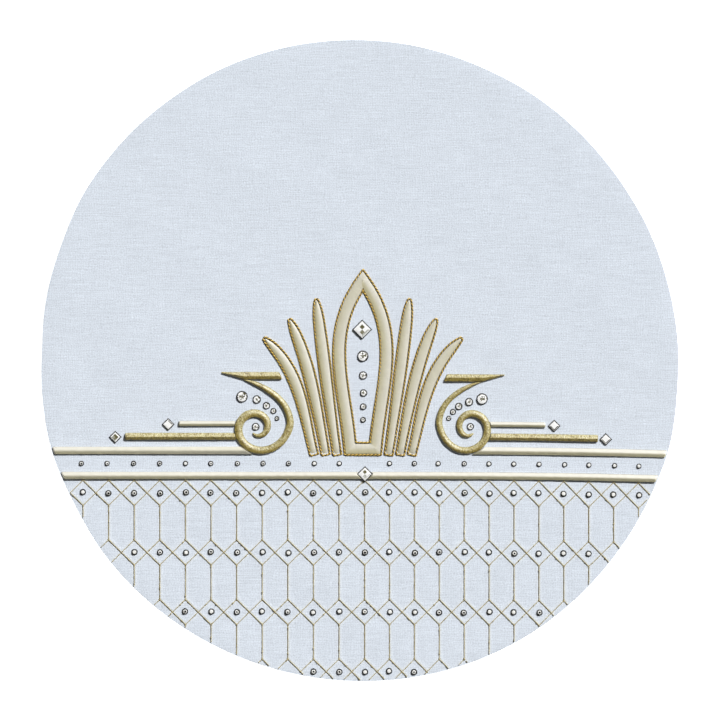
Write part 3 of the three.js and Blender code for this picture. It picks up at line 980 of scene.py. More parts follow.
def bezier(share, *corners):
    a, b, c, d = (np.array(corner, float) for corner in corners)
    rest = 1 - share
    return a * rest**3 + 3 * b * rest**2 * share + 3 * c * rest * share**2 + d * share**3


ornamentMiddle = 2.1


def placed(point, side):
    # a place given from the ornament's middle line, put on the left or the right of it
    x = ornamentMiddle + (-1 if side == "left" else 1) * abs(point[0])
    return np.array([x, point[1] - droop(x)])


# Wedge-ended bars, and the scrolls whose tails end under them

wedge = {
    "height": 1.2,
    "top": [(-99.2, -8.0), (-83.3, -8.0), (-58.7, -8.0)],
    "bottom": [(-99.2, -9.0), (-83.3, -13.2), (-56.4, -13.2)],
    "kneeAt": 0.4,  # share of the length at which the slanted end turns straight
    "length": 41,
    "drops": {"left": 0.0, "right": 1.4},
}


def wedgeUnderside(x, side):
    xs, ys = zip(*wedge["bottom"])
    return float(np.interp(x, xs, ys, right=math.inf)) - wedge["drops"][side]


scroll = {
    "height": 1.25,
    "eye": (-75.1, -46.5),
    "outerRadius": 24.3,
    "shrink": (-2.25, 3.03, -1.585),
    "startAngle": 5.5,
    "sweep": 480,
    "steps": 400,
    "tailStarts": {"left": (-89.5, -11.6), "right": (-88, -13.2)},  # under the wedge-ended bars
    "tailBends": {"left": ((-69.5, -16.4), (-51.3, -27.2)), "right": ((-69.5, -17.8), (-53.6, -27.8))},
    "slimness": {"left": (1.0, 1.0), "right": (0.84, 0.9)},  # of the tail and the curl
    "squeeze": {"left": 1.0, "right": 0.9},  # how wide the side towards the middle of the cover is
    "tailSteps": 90,
    "tailWidening": (  # shares of the tail, and half widths there
        (0, 0.07, 0.15, 0.25, 0.4, 1),
        (0.12, 0.4, 1.0, 1.6, 2.1, 2.6),
    ),
    "halfWidths": (2.6, 3.05, 0.7),
    "topDip": (0.5, 0.57, 0.13),  # how much further in the top of the curl lies, where, and how long
    "tipPower": 4.5,
}


def scrollLine(side):
    middle, halfWidths = [], []
    start, curl, tip = scroll["halfWidths"]
    a, b, c = scroll["shrink"]
    dip, dipAt, dipSpread = scroll["topDip"]
    volute = []
    for i in range(scroll["steps"] + 1):
        share = i / scroll["steps"]
        angle = math.radians(scroll["startAngle"] - scroll["sweep"] * share)
        radius = scroll["outerRadius"] * (1 + a * share + b * share**2 + c * share**3)
        radius -= dip * math.exp(-(((share - dipAt) / dipSpread) ** 2))
        wide = scroll["squeeze"][side] if math.cos(angle) > 0 else 1.0
        volute.append(np.array(scroll["eye"]) + radius * np.array([math.cos(angle) * wide, math.sin(angle)]))
    for i in range(scroll["tailSteps"]):
        share = i / scroll["tailSteps"]
        middle.append(bezier(share, scroll["tailStarts"][side], *scroll["tailBends"][side], volute[0]))
        halfWidths.append(lerp(*scroll["slimness"][side], share) * np.interp(share, *scroll["tailWidening"]))
    for i, point in enumerate(volute):
        share = i / scroll["steps"]
        middle.append(point)
        full = scroll["slimness"][side][1] * lerp(start, curl, min(1, 2 * share))
        halfWidths.append(lerp(full, tip, share ** scroll["tipPower"]))
    return middle, halfWidths


def scrollEdges(side, extra=0.0):
    middle, halfWidths = scrollLine(side)
    left, right = offsetEdges(middle, np.array(halfWidths) + extra)
    for edge in (left, right):
        for point in edge[: scroll["tailSteps"] // 2]:
            point[1] = min(point[1], wedgeUnderside(point[0], side) - 0.1)
    moved = [np.array([placed(point, side) for point in edge]) for edge in (left, right)]
    return moved if side == "left" else moved[::-1]


def edgesPlace(left, right):
    # the place function of a strip that is given by its two edges
    last = len(left) - 1

    def place(share, side):
        at = share * last
        low = min(int(at), last - 1)
        a, b = lerp(left[low], left[low + 1], at - low), lerp(right[low], right[low + 1], at - low)
        return (a + b) / 2 + (a - b) / 2 * side

    return place


def scrollPiece(side):
    left, right = scrollEdges(side)
    looks = {**foilStrip, "wall": 1.55, "crest": 0.0, "ends": (0, 2.0), "seed": 3 if side == "left" else 8}
    piece = stripPiece(
        f"foil_scroll_{side}",
        edgesPlace(left, right),
        np.linspace(0, 1, len(left)),
        scroll["height"],
        goldFoil,
        tube,
        **looks,
    )
    sew(piece, "gold_foil", f"scroll_{side}")


# Bands and bars stop at the rim or at the scrolls

bandHollow = (3.4, -79.6, 5.7, 3.2)  # under the square stone of the lower band
strips = {
    "upper_band_left": {"from": "rim", "to": "scroll", "y": -63.0, "width": 5.25, "height": 1.07},
    "upper_band_right": {"from": "scroll", "to": "rim", "y": -63.0, "width": 5.25, "height": 1.07},
    "lower_band": {
        "from": "rim", "to": "rim", "y": -80.5, "width": 5.15, "height": 0.98, "hollow": bandHollow,
    },
    "thin_bar_left": {"from": -127, "to": "scroll", "y": -44.1, "width": 3.7, "height": 0.76},
    "thin_bar_right": {"from": "scroll", "to": 129.9, "y": -44.4, "width": 3.7, "height": 0.76},
    "gold_bar_left": {"from": -164.7, "to": "scroll", "y": -53.1, "width": 5.0, "height": 1.4, "foil": True},
    "gold_bar_right": {"from": "scroll", "to": 166.7, "y": -53.3, "width": 5.0, "height": 1.4, "foil": True},
}
rimMargin = 1.1
scrollGap = 0.15
hollowReach = 6.6  # a strip has close steps as far as this from the middle of its hollow
outlineSpan = (-75, -25, 201)  # lowest and highest level at which a scroll's side is measured, and how often
outlineReach = 0.8  # edge points this near to a level count for it


def scrollSideX(side):
    # the outline of the scroll towards the bars: the furthest edge at each height
    edges = np.concatenate(scrollEdges(side, scrollGap))
    heights = np.linspace(*outlineSpan)
    outline = []
    for height in heights:
        level = edges[np.abs(edges[:, 1] + droop(edges[:, 0]) - height) < outlineReach][:, 0]
        outline.append((level.min() if side == "left" else level.max()) if len(level) else np.nan)
    return heights, np.array(outline)


scrollSides = {side: scrollSideX(side) for side in ("left", "right")}


def stopX(stop, y, side):
    if stop == "rim":
        return rimX(y - droop(200 if side > 0 else 0), side, rimMargin)
    if stop == "scroll":
        heights, outline = scrollSides["left" if side < 0 else "right"]
        return float(np.interp(y, heights, outline))
    return stop


def barPiece(name, bar, seed):
    side = -1 if name.endswith("left") else 1
    startSide, endSide = (-1, 1) if name == "lower_band" else (side, side)
    levels = np.linspace(-1.1, 1.1, 23)
    heights = bar["y"] + levels * bar["width"] / 2
    starts = [stopX(bar["from"], height, startSide) for height in heights]
    stops = [stopX(bar["to"], height, endSide) for height in heights]

    def place(share, across):
        x = lerp(np.interp(across, levels, starts), np.interp(across, levels, stops), share)
        return np.array([x, bar["y"] + across * bar["width"] / 2 - droop(x)])

    length = place(1, 0)[0] - place(0, 0)[0]
    foil = bar.get("foil", False)
    shares = crowdedShares(length, 0.6 if foil else 1.2, 2.4, 0.3)
    hollow = bar.get("hollow")
    if hollow:
        close = np.arange(hollow[0] - hollowReach, hollow[0] + hollowReach, 0.3)
        close = (close - place(0, 0)[0]) / length
        before, after = shares[shares < close[0] - 0.001], shares[shares > close[-1] + 0.001]
        shares = np.concatenate([before, close, after])
    ends = [0 if bar[key] == "scroll" else 1.5 for key in ("from", "to")]
    looks = {**(foilStrip if foil else bandStrip), "ends": ends, "hollow": hollow, "seed": seed}
    material, profile = (goldFoil, sharpRidge) if foil else (paddedSatin, ridge)
    label = ("foil_" if foil else "padded_") + name
    piece = stripPiece(label, place, shares, bar["height"], material, profile, **looks)
    sew(piece, "gold_foil" if foil else "satin", name)


def wedgePiece(side):
    knee = wedge["kneeAt"]

    def place(share, across):
        part, inner = (0, share / knee) if share < knee else (1, (share - knee) / (1 - knee))
        upper, lower = (lerp(*np.array(wedge[key][part : part + 2]), inner) for key in ("top", "bottom"))
        point = (upper + lower) / 2 + (upper - lower) / 2 * (across if side == "left" else -across)
        return placed(point - np.array([0, wedge["drops"][side]]), side)

    shares = crowdedShares(wedge["length"], 0.6, 2.0, 0.3)
    looks = {**foilStrip, "dents": 0.12, "ends": (1.0, 1.2), "seed": 21 if side == "left" else 24}
    piece = stripPiece(f"foil_wedge_{side}", place, shares, wedge["height"], goldFoil, sharpRidge, **looks)
    sew(piece, "gold_foil", f"wedge_{side}")


for side in ("left", "right"):
    scrollPiece(side)
    wedgePiece(side)
for seed, (name, bar) in enumerate(strips.items()):
    barPiece(name, bar, seed + 30)
print("bands, bars, scrolls and wedges sewn")


# The centre ornament: a pointed ring and three leaves a side

ring = {
    "height": 0.45,
    "halfWidth": 3.3,
    "foot": (8.8, -61.9),
    "bends": ((13, -15), (28, 18)),
    "tip": (0, 56.4),
    "steps": 60,
}
leaves = {  # foot, two bends and tip of the line along the middle of each
    "inner": ((18.1, -65.2), (23.6, -30), (28.4, 8), (32.5, 42)),
    "middle": ((26.2, -65.2), (32, -34), (37, -2), (51, 28)),
    "outer": ((34.3, -65.2), (41.4, -38), (43, -8), (68.5, 15)),
}
leaf = {
    "height": 0.45,
    "steps": 56,
    "halfWidths": {"inner": 3.1, "middle": 3.1, "outer": 3.0},
    "footHalfWidth": 1.9,
    "bellyAt": 0.62,
    "tipHalfWidth": 0.25,
    "crowding": 1.6,
}
cordSeat = 0.35
cordRadius = 0.7
satinSpread = 0.3  # the satin reaches this much nearer to its cords than the solids do


def ringSide(shares, side):
    return [placed(bezier(share, ring["foot"], *ring["bends"], ring["tip"]), side) for share in shares]


def ringMiddle():
    close = [0.0, 0.004, 0.01, 0.02]
    shares = close + list(np.linspace(0.03, 0.97, ring["steps"])) + [1 - share for share in close[::-1]]
    up, down = ringSide(shares, "right"), ringSide(shares[::-1][1:], "left")
    base = [lerp(down[-1], up[0], share) for share in (0.03, 0.1, 0.25, 0.4, 0.6, 0.75, 0.9, 0.97)]
    return np.array(up + down + base)


def closedPlace(left, right):
    def place(share, side):
        at = int(round(share * len(left))) % len(left)
        return (left[at] + right[at]) / 2 + (left[at] - right[at]) / 2 * side

    return place


def ringPiece():
    middle = ringMiddle()
    left, right = offsetEdges(middle, np.full(len(middle), ring["halfWidth"] + satinSpread), closed=True)
    shares = np.arange(len(middle)) / len(middle)
    place, looks = closedPlace(left, right), {**satinStrip, "closed": True, "seed": 41}
    piece = stripPiece("satin_ring", place, shares, ring["height"], stitchedSatin, pillow, **looks)
    sew(piece, "satin", "centre_ring")


def leafHalfWidth(widest, share):
    if share < leaf["bellyAt"]:
        return lerp(leaf["footHalfWidth"], widest, float(smoothStep(share, 0, leaf["bellyAt"])))
    along = (share - leaf["bellyAt"]) / (1 - leaf["bellyAt"])
    return lerp(leaf["tipHalfWidth"], widest, 1 - 0.4 * along**2 - 0.6 * along**7)


def leafEdges(name, extra=0.0):
    shares = [1 - (1 - i / leaf["steps"]) ** leaf["crowding"] for i in range(leaf["steps"] + 1)]
    middle = [bezier(share, *leaves[name]) for share in shares]
    return offsetEdges(middle, [leafHalfWidth(leaf["halfWidths"][name], share) + extra for share in shares])


def leafPiece(name, side, seed):
    edges = [np.array([placed(p, side) for p in edge]) for edge in leafEdges(name, satinSpread)]
    left, right = edges if side == "right" else edges[::-1]
    shares = np.linspace(0, 1, len(left))
    place, looks = edgesPlace(left, right), {**satinStrip, "ends": (1.0, 0.8), "seed": seed}
    piece = stripPiece(
        f"satin_leaf_{name}_{side}", place, shares, leaf["height"], stitchedSatin, pillow, **looks
    )
    sew(piece, "satin", f"leaf_{name}_{side}")


ringPiece()
for seed, name in enumerate(leaves):
    for side in ("left", "right"):
        leafPiece(name, side, 50 + 2 * seed + (side == "right"))
print("centre ornament sewn")


# Geometry Nodes: twisted cord, quilting stitches and beads

def grown(piece, tree, settings, smooth=True):
    # runs a tree on a piece and keeps the result as its plain mesh
    modifier = piece.modifiers.new("grow", "NODES")
    modifier.node_group = tree
    for item in tree.interface.items_tree:
        if item.item_type == "SOCKET" and item.in_out == "INPUT" and item.name in settings:
            modifier[item.identifier] = settings[item.name]
    depsgraph = bpy.context.evaluated_depsgraph_get()
    mesh = bpy.data.meshes.new_from_object(
        piece.evaluated_get(depsgraph), preserve_all_data_layers=True, depsgraph=depsgraph
    )
    piece.modifiers.remove(modifier)
    piece.data = mesh
    mesh.polygons.foreach_set("use_smooth", [smooth] * len(mesh.polygons))


def linesObject(name, lines, closed=False):
    # edges only, for a tree to follow
    points, edges = [], []
    for line in lines:
        start = len(points)
        points += [tuple(float(v) * mm for v in point) for point in line]
        edges += [(start + k, start + k + 1) for k in range(len(line) - 1)]
        if closed:
            edges.append((start + len(line) - 1, start))
    mesh = bpy.data.meshes.new(name)
    mesh.from_pydata(points, edges, [])
    return addObject(name, mesh)


def firstOut(tree, kind, inputs=None, **settings):
    return addNode(tree, kind, inputs, **settings).outputs[0]


def combined(tree, x=0.0, y=0.0, z=0.0):
    return firstOut(tree, "ShaderNodeCombineXYZ", {0: x, 1: y, 2: z})


def dressed(tree, geometry, material):
    return firstOut(tree, "GeometryNodeSetMaterial", {"Geometry": geometry, "Material": material})


def randomIn(tree, low, high, seed):
    inputs = {2: low, 3: high, "Seed": seed}
    return addNode(tree, "FunctionNodeRandomValue", inputs, data_type="FLOAT").outputs[1]


# Twisted cords edge the ring and the leaves

cordSettings = {
    "Gold Radius": 0.5 * mm,
    "Gold Reach": 0.26 * mm,
    "Brown Radius": 0.27 * mm,
    "Brown Reach": 0.46 * mm,
    "Twist Pitch": 2.65 * mm,
    "Steps in a Turn": 10,
    "Sides": 6,
}
cordHeight = 3.35


def twistTree():
    # a thick gold strand and a thin brown one wound round each other along a level line
    inputs = {"Geometry": None, **cordSettings}
    tree, given, made = startGroup("twistedCord", "GeometryNodeTree", inputs, ("Geometry",))
    line = firstOut(tree, "GeometryNodeMeshToCurve", {"Mesh": given["Geometry"]})
    length = firstOut(tree, "GeometryNodeCurveLength", {"Curve": line})
    turns = mathNode(tree, "ROUND", mathNode(tree, "DIVIDE", length, given["Twist Pitch"]))
    count = times(tree, turns, given["Steps in a Turn"])
    spaced = firstOut(tree, "GeometryNodeResampleCurve", {"Curve": line, "Count": count})
    along = addNode(tree, "GeometryNodeSplineParameter").outputs["Factor"]
    wound = times(tree, times(tree, along, turns), 2 * math.pi)
    aside = vectorMath(tree, "CROSS_PRODUCT", firstOut(tree, "GeometryNodeInputTangent"), (0.0, 0.0, 1.0))
    both = tree.nodes.new("GeometryNodeJoinGeometry")
    for strand, turn, thread in (("Brown", math.pi, brownThread), ("Gold", 0.0, goldThread)):
        reach, phase = given[strand + " Reach"], plus(tree, wound, turn)
        level = times(tree, mathNode(tree, "COSINE", phase), reach)
        upright = times(tree, mathNode(tree, "SINE", phase), reach)
        sideways = firstOut(tree, "ShaderNodeVectorMath", {0: aside, 3: level}, operation="SCALE")
        offset = vectorMath(tree, "ADD", sideways, combined(tree, z=upright))
        path = firstOut(tree, "GeometryNodeSetPosition", {"Geometry": spaced, "Offset": offset})
        size = {"Resolution": given["Sides"], "Radius": given[strand + " Radius"]}
        circle = firstOut(tree, "GeometryNodeCurvePrimitiveCircle", size)
        strandTube = firstOut(tree, "GeometryNodeCurveToMesh", {"Curve": path, "Profile Curve": circle})
        real = firstOut(tree, "GeometryNodeRealizeInstances", {0: strandTube})
        tree.links.new(dressed(tree, real, thread), both.inputs[0])
    tree.links.new(both.outputs[0], made["Geometry"])
    return tree


twistedCord = twistTree()


def roundedLoop(points, rounds=2):
    # cuts the corners of a closed line
    for _ in range(rounds):
        after = np.roll(points, -1, 0)
        points = np.stack([lerp(points, after, 0.25), lerp(points, after, 0.75)], 1).reshape(-1, 2)
    return points


def evenLoop(points, step):
    # the same closed line with even steps, so that its corners round alike
    closedPoints = np.concatenate([points, points[:1]])
    along = np.concatenate([[0], np.cumsum(np.linalg.norm(np.diff(closedPoints, axis=0), axis=1))])
    stops = np.linspace(0, along[-1], round(along[-1] / step), endpoint=False)
    return np.stack([np.interp(stops, along, closedPoints[:, k]) for k in (0, 1)], 1)


def outsideEdge(middle, reach):
    return offsetEdges(middle, np.full(len(middle), reach), closed=True)[1]


def insideEdge(middle, reach, pinch=1.8):
    # the edge inside a ring without the points that run past its corners, drawn up a little into its point
    dense = evenLoop(middle, 0.15)
    edge = offsetEdges(dense, np.full(len(dense), reach), closed=True)[0]
    edge = edge[np.linalg.norm(edge[:, None] - dense[None], axis=2).min(1) > 0.99 * reach]
    top = int(edge[:, 1].argmax())
    return np.insert(edge, top, edge[top] + (0, pinch), axis=0)


def cordPiece(name, outline, node):
    path = roundedLoop(evenLoop(outline, 0.9))
    line = np.concatenate([path, np.full((len(path), 1), cordHeight)], 1)
    piece = linesObject(name, [line], closed=True)
    grown(piece, twistedCord, cordSettings)
    sew(piece, "gold_cord", node)


def cordPieces():
    middle = ringMiddle()
    reach = ring["halfWidth"] + cordSeat + cordRadius
    cordPiece("twisted_cord_ring_outer", outsideEdge(middle, reach), "centre_ring_cord_outer")
    cordPiece("twisted_cord_ring_inner", insideEdge(middle, reach), "centre_ring_cord_inner")
    for name in leaves:
        for side in ("left", "right"):
            left, right = leafEdges(name)
            outline = np.array([placed(point, side) for point in np.concatenate([right, left[::-1]])])
            if side == "left":
                outline = outline[::-1]
            edge = outsideEdge(outline, cordSeat + cordRadius)
            cordPiece(f"twisted_cord_leaf_{name}_{side}", edge, f"leaf_{name}_{side}_cord")


cordPieces()
print("cords twisted")


# Quilting stitches

stitchSettings = {
    "Stitch Length": 1.9 * mm,
    "Stitch Pitch": 1.22 * mm,
    "Thread Half Width": 0.34 * mm,
    "Thread Half Height": 0.62 * mm,
    "Crooked": 0.12,
    "Knots": 0.7,
    "Seed": 5,
}
stitching = {
    "endMargin": 1.4,  # from the rim
    "lift": 0.4,
    "bend": 3,  # a line follows the cloth in steps of this
    "probe": 0.25,  # and is looked along for the rim in steps of this
    "fewestProbes": 6,
}


def stitchTree():
    # short stitches laid end to end along lines, here and there a knot
    inputs = {"Geometry": None, **stitchSettings}
    tree, given, made = startGroup("stitchLine", "GeometryNodeTree", inputs, ("Geometry",))
    line = firstOut(tree, "GeometryNodeMeshToCurve", {"Mesh": given["Geometry"]})
    inputs = {"Curve": line, "Length": given["Stitch Pitch"]}
    spots = addNode(tree, "GeometryNodeCurveToPoints", inputs, mode="LENGTH").outputs
    ball = firstOut(tree, "GeometryNodeMeshUVSphere", {"Segments": 6, "Rings": 5, "Radius": 1.0})
    laid = firstOut(tree, "GeometryNodeTransform", {"Geometry": ball, "Rotation": (0.0, math.pi / 2, 0.0)})
    half = times(tree, given["Stitch Length"], 0.5)
    sizes = combined(tree, half, given["Thread Half Width"], given["Thread Half Height"])
    stitch = firstOut(tree, "GeometryNodeTransform", {"Geometry": laid, "Scale": sizes})
    facing = firstOut(tree, "FunctionNodeAlignRotationToVector", {"Vector": spots["Tangent"]}, axis="X")
    inputs = {"Points": spots["Points"], "Instance": stitch, "Rotation": facing}
    laidStitches = firstOut(tree, "GeometryNodeInstanceOnPoints", inputs)
    slant = randomIn(tree, times(tree, given["Crooked"], -1.0), given["Crooked"], given["Seed"])
    inputs = {"Instances": laidStitches, "Rotation": combined(tree, z=slant)}
    turned = firstOut(tree, "GeometryNodeRotateInstances", inputs)
    chance = randomIn(tree, 0.0, 1.0, plus(tree, given["Seed"], 17.0))
    knot = times(tree, mathNode(tree, "POWER", chance, 16.0), given["Knots"])
    fat = plus(tree, plus(tree, times(tree, chance, 0.16), 0.9), knot)
    inputs = {"Instances": turned, "Scale": combined(tree, 1.0, fat, fat)}
    sized = firstOut(tree, "GeometryNodeScaleInstances", inputs)
    real = firstOut(tree, "GeometryNodeRealizeInstances", {0: sized})
    tree.links.new(dressed(tree, real, quiltingThread), made["Geometry"])
    return tree


stitchLine = stitchTree()


def insidePart(start, end, margin):
    # the part of a straight line that lies inside the rim, with points every few millimetres
    count = max(2, math.ceil(np.linalg.norm(end - start) / stitching["probe"]))
    line = lerp(start, end, np.linspace(0, 1, count)[:, None])
    kept = line[roomToRim(line[:, 0], line[:, 1]) > margin]
    if len(kept) < stitching["fewestProbes"]:
        return []
    low, high = kept[0], kept[-1]
    steps = max(2, round(np.linalg.norm(high - low) / stitching["bend"]))
    flat = lerp(low, high, np.linspace(0, 1, steps)[:, None])
    heights = clothFace(flat[:, 0], flat[:, 1], np.zeros(len(flat))) + stitching["lift"]
    return [np.concatenate([flat, heights[:, None]], 1)]


def stitchPieces():
    diamonds, uprights = [], []
    rise, margin = quilting["halfHeight"], stitching["endMargin"]
    outer = quilting["columns"] + 1
    for column in range(-outer, outer + 1):
        for row in range(quilting["rows"]):
            corners = diamondCorners(column, row)
            for k in range(4):
                diamonds += insidePart(corners[k], corners[(k + 1) % 4], margin)
            uprights += insidePart(quiltPoint(column, row, -rise), quiltPoint(column, row + 1, rise), margin)
    for name, lines, seed in (("stitches_diamonds", diamonds, 5), ("stitches_uprights", uprights, 9)):
        piece = linesObject(name, lines)
        grown(piece, stitchLine, {**stitchSettings, "Seed": seed})
        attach(piece, "root")
        print(name, len(piece.data.polygons), "faces")


stitchPieces()


# Beads: one in each diamond, and a row between the bands

beads = {
    "quiltRadius": 2.35,
    "quiltCup": 1.15,
    "quiltReach": [11, 9, 7, 2],  # columns on each side of the middle, row by row
    "rowRadius": 2.0,
    "rowCup": 1.05,
    "rowY": -72.2,
    "rowX": [
        -195.2, -177.1, -158.6, -140.3, -122.2, -104.5, -85.9, -67.9, -50.1, -32.0, -14.5,
        20.7, 38.1, 54.7, 73.0, 90.3, 107.7, 125.4, 143.3, 160.3, 178.3, 195.3,
    ],
    "jitter": 0.45,
    "seat": -0.1,
    "spotChances": (0.95, 0.1),  # of a dark spot that is a painted reflection, at the left-hand end and at the right-hand one
    "spotSizes": (0.75, 1.15),
}


def beadTree():
    # small cut beads in dark cups, most with a dark spot in the middle that is a painted reflection
    tree, given, made = startGroup(
        "cuppedBeads",
        "GeometryNodeTree",
        {"Geometry": None, "Bead Radius": 2.1 * mm, "Cup Height": 0.95 * mm, "Tilt": 0.05, "Seed": 2},
        ("Geometry",),
    )

    def part(corners, bottomShare, topShare, low, high, material, aside=0.0):
        # a frustum, with its radii and its place to the side as shares of the bead's radius
        bottom, top, shift = (times(tree, given["Bead Radius"], v) for v in (bottomShare, topShare, aside))
        size = {"Vertices": corners, "Radius Top": top, "Radius Bottom": bottom, "Depth": high}
        shape = firstOut(tree, "GeometryNodeMeshCone", size)
        inputs = {"Geometry": shape, "Translation": combined(tree, shift, 0.0, low)}
        return dressed(tree, firstOut(tree, "GeometryNodeTransform", inputs), material)

    lip = minus(tree, given["Cup Height"], 0.06 * mm)
    crown = times(tree, given["Bead Radius"], 0.2)
    bead = tree.nodes.new("GeometryNodeJoinGeometry")
    tree.links.new(part(9, 0.62, 0.44, lip, crown, whiteBead), bead.inputs[0])
    tree.links.new(part(18, 1.0, 0.7, 0.0, given["Cup Height"], darkBezel), bead.inputs[0])
    spot = part(7, 0.34, 0.28, plus(tree, lip, crown), 0.03 * mm, darkReflectionSpot, 0.08)
    tilt = given["Tilt"]
    low = times(tree, tilt, -1.0)
    inputs = {0: combined(tree, low, low, -0.5), 1: combined(tree, tilt, tilt, 0.5), "Seed": given["Seed"]}
    lean = firstOut(tree, "FunctionNodeRandomValue", inputs, data_type="FLOAT_VECTOR")
    spotSize = firstOut(tree, "GeometryNodeInputNamedAttribute", {"Name": "spotSize"}, data_type="FLOAT")
    spotted = firstOut(
        tree, "FunctionNodeCompare", {0: spotSize, 1: 0.1}, data_type="FLOAT", operation="GREATER_THAN"
    )
    joined = tree.nodes.new("GeometryNodeJoinGeometry")
    inputs = {"Points": given["Geometry"], "Instance": bead.outputs[0], "Rotation": lean}
    tree.links.new(firstOut(tree, "GeometryNodeInstanceOnPoints", inputs), joined.inputs[0])
    inputs.update({"Instance": spot, "Selection": spotted, "Scale": combined(tree, spotSize, spotSize, 1.0)})
    tree.links.new(firstOut(tree, "GeometryNodeInstanceOnPoints", inputs), joined.inputs[0])
    tree.links.new(firstOut(tree, "GeometryNodeRealizeInstances", {0: joined.outputs[0]}), made["Geometry"])
    return tree


cuppedBeads = beadTree()


def beadPiece(name, places, radius, cup, seed):
    chance = np.random.default_rng(seed)
    points, spots = [], []
    for x, y in places:
        points.append((x, y, float(clothFace(x, y, 6.0)) + beads["seat"]))
        spotted = chance.random() < lerp(*beads["spotChances"], (x + 200) / 400)
        spots.append(chance.uniform(*beads["spotSizes"]) if spotted else 0.0)
    piece = linesObject(name, [[point] for point in points])
    piece.data.attributes.new("spotSize", "FLOAT", "POINT").data.foreach_set("value", spots)
    settings = {"Bead Radius": radius * mm, "Cup Height": cup * mm, "Seed": seed}
    grown(piece, cuppedBeads, settings, smooth=False)
    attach(piece, "root")
    print(name, len(piece.data.polygons), "faces")


def beadPieces():
    shake = np.random.default_rng(12)
    places = []
    for row, reach in enumerate(beads["quiltReach"]):
        for column in range(-reach, reach + 1):
            places.append(quiltPoint(column, row, 0) + shake.uniform(-1, 1, 2) * beads["jitter"])
    beadPiece("beads_quilting", places, beads["quiltRadius"], beads["quiltCup"], 4)
    rowPlaces = [np.array([x, beads["rowY"] - droop(x)]) for x in beads["rowX"]]
    beadPiece("beads_row", rowPlaces, beads["rowRadius"], beads["rowCup"], 7)


beadPieces()


# Cut stones in dark bezels

# painted reflection: the facet tones below stand in for light inside the stones
stone = {
    "seat": 2.95,
    "cupBase": 0.75,  # cup height is the base and a share of the size
    "bezelWidth": 0.65,
    "bezelGap": 0.12,
    "crownRise": 0.05,
    "girdleTone": 0.3,
    "borderTone": 0.92,
    "heartTones": (0.24, 0.85),  # by chance
    "tableTones": (0.42, 0.2),  # by turns
    "darkChance": (0.14, 0.6),  # of a facet in the middle, and how much it grows to the right
    "darkTones": (0.02, 0.36),
    "paleTones": (0.74, 0.98),
    "farSide": (0.95, 0.3),  # the way in which facets grow darker
}
squareDips = math.cos(math.pi / 4)  # puts every second point of a ring in the middle of a side
cuts = {  # numbers of sides, and shares of the size and of the bezel's width
    "square": {"cupSides": 8, "girdle": 8, "dips": squareDips, "cup": 0.14, "table": 0.52, "bezel": 1.35},
    "round": {"cupSides": 24, "girdle": 16, "dips": 1.0, "cup": 0.22, "table": 0.5, "bezel": 1.0},
}
tableCorners = 8
# place, size, lift, painted reflection tones of the table's quarters (up, left, down, right)
# and of the crown's sides from the upper right
squareStones = {
    "centre": (1.5, 21.6, 7, 0, (0.24, 0.95, 0.34, 0.9), (0.9, 0.95, 0.95, 0.5)),
    "band": (3.4, -79.6, 5.7, 0.6, (0.3, 0.95, 0.5, 0.95), (0.9, 0.95, 0.95, 0.6)),
    "left_inner": (-134.3, -44.8, 4.5, 0, (0.95, 0.95, 0.9, 0.95), (0.06, 0.9, 0.95, 0.9)),
    "left_outer": (-171.4, -53.7, 4.5, 0, (0.3, 0.42, 0.34, 0.26), (0.95, 0.9, 0.5, 0.9)),
    "right_inner": (136, -45.9, 4.5, 0, (0.95, 0.95, 0.95, 0.95), (0.9, 0.95, 0.16, 0.0)),
    "right_outer": (172.1, -55.3, 4.5, 0, (0.95, 0.95, 0.95, 0.95), (0.95, 0.9, 0.4, 0.0)),
}
roundStones = {  # place, size
    "centre_1": (2, 3, 4),
    "centre_2": (2.2, -10.5, 2.95),
    "centre_3": (2.5, -22.8, 2.65),
    "centre_4": (2.3, -32.4, 2.4),
    "centre_5": (2.2, -41.6, 2.05),
    "left_1": (-82.6, -25.4, 4.1),
    "left_2": (-72.3, -27.4, 3),
    "left_3": (-65.5, -31.7, 2.65),
    "left_4": (-60.6, -35.4, 2.2),
    "left_5": (-58.2, -40.7, 1.8),
    "left_eye": (-73.1, -46.5, 2.8),
    "right_1": (85.5, -27, 4.05),
    "right_2": (76.4, -29.1, 2.95),
    "right_3": (69.2, -32.2, 2.65),
    "right_4": (65.1, -36.1, 2.2),
    "right_5": (62.1, -40.6, 1.9),
    "right_eye": (77.3, -46.4, 2.6),
}


def addLoop(points, radius, height, count, turn=0.0, dips=1.0):
    # a ring of points; every second one may lie further in
    start = len(points)
    for k in range(count):
        angle = turn + 2 * math.pi * k / count
        reach = radius * (dips if k % 2 else 1.0)
        points.append((reach * math.cos(angle), reach * math.sin(angle), height))
    return list(range(start, start + count))


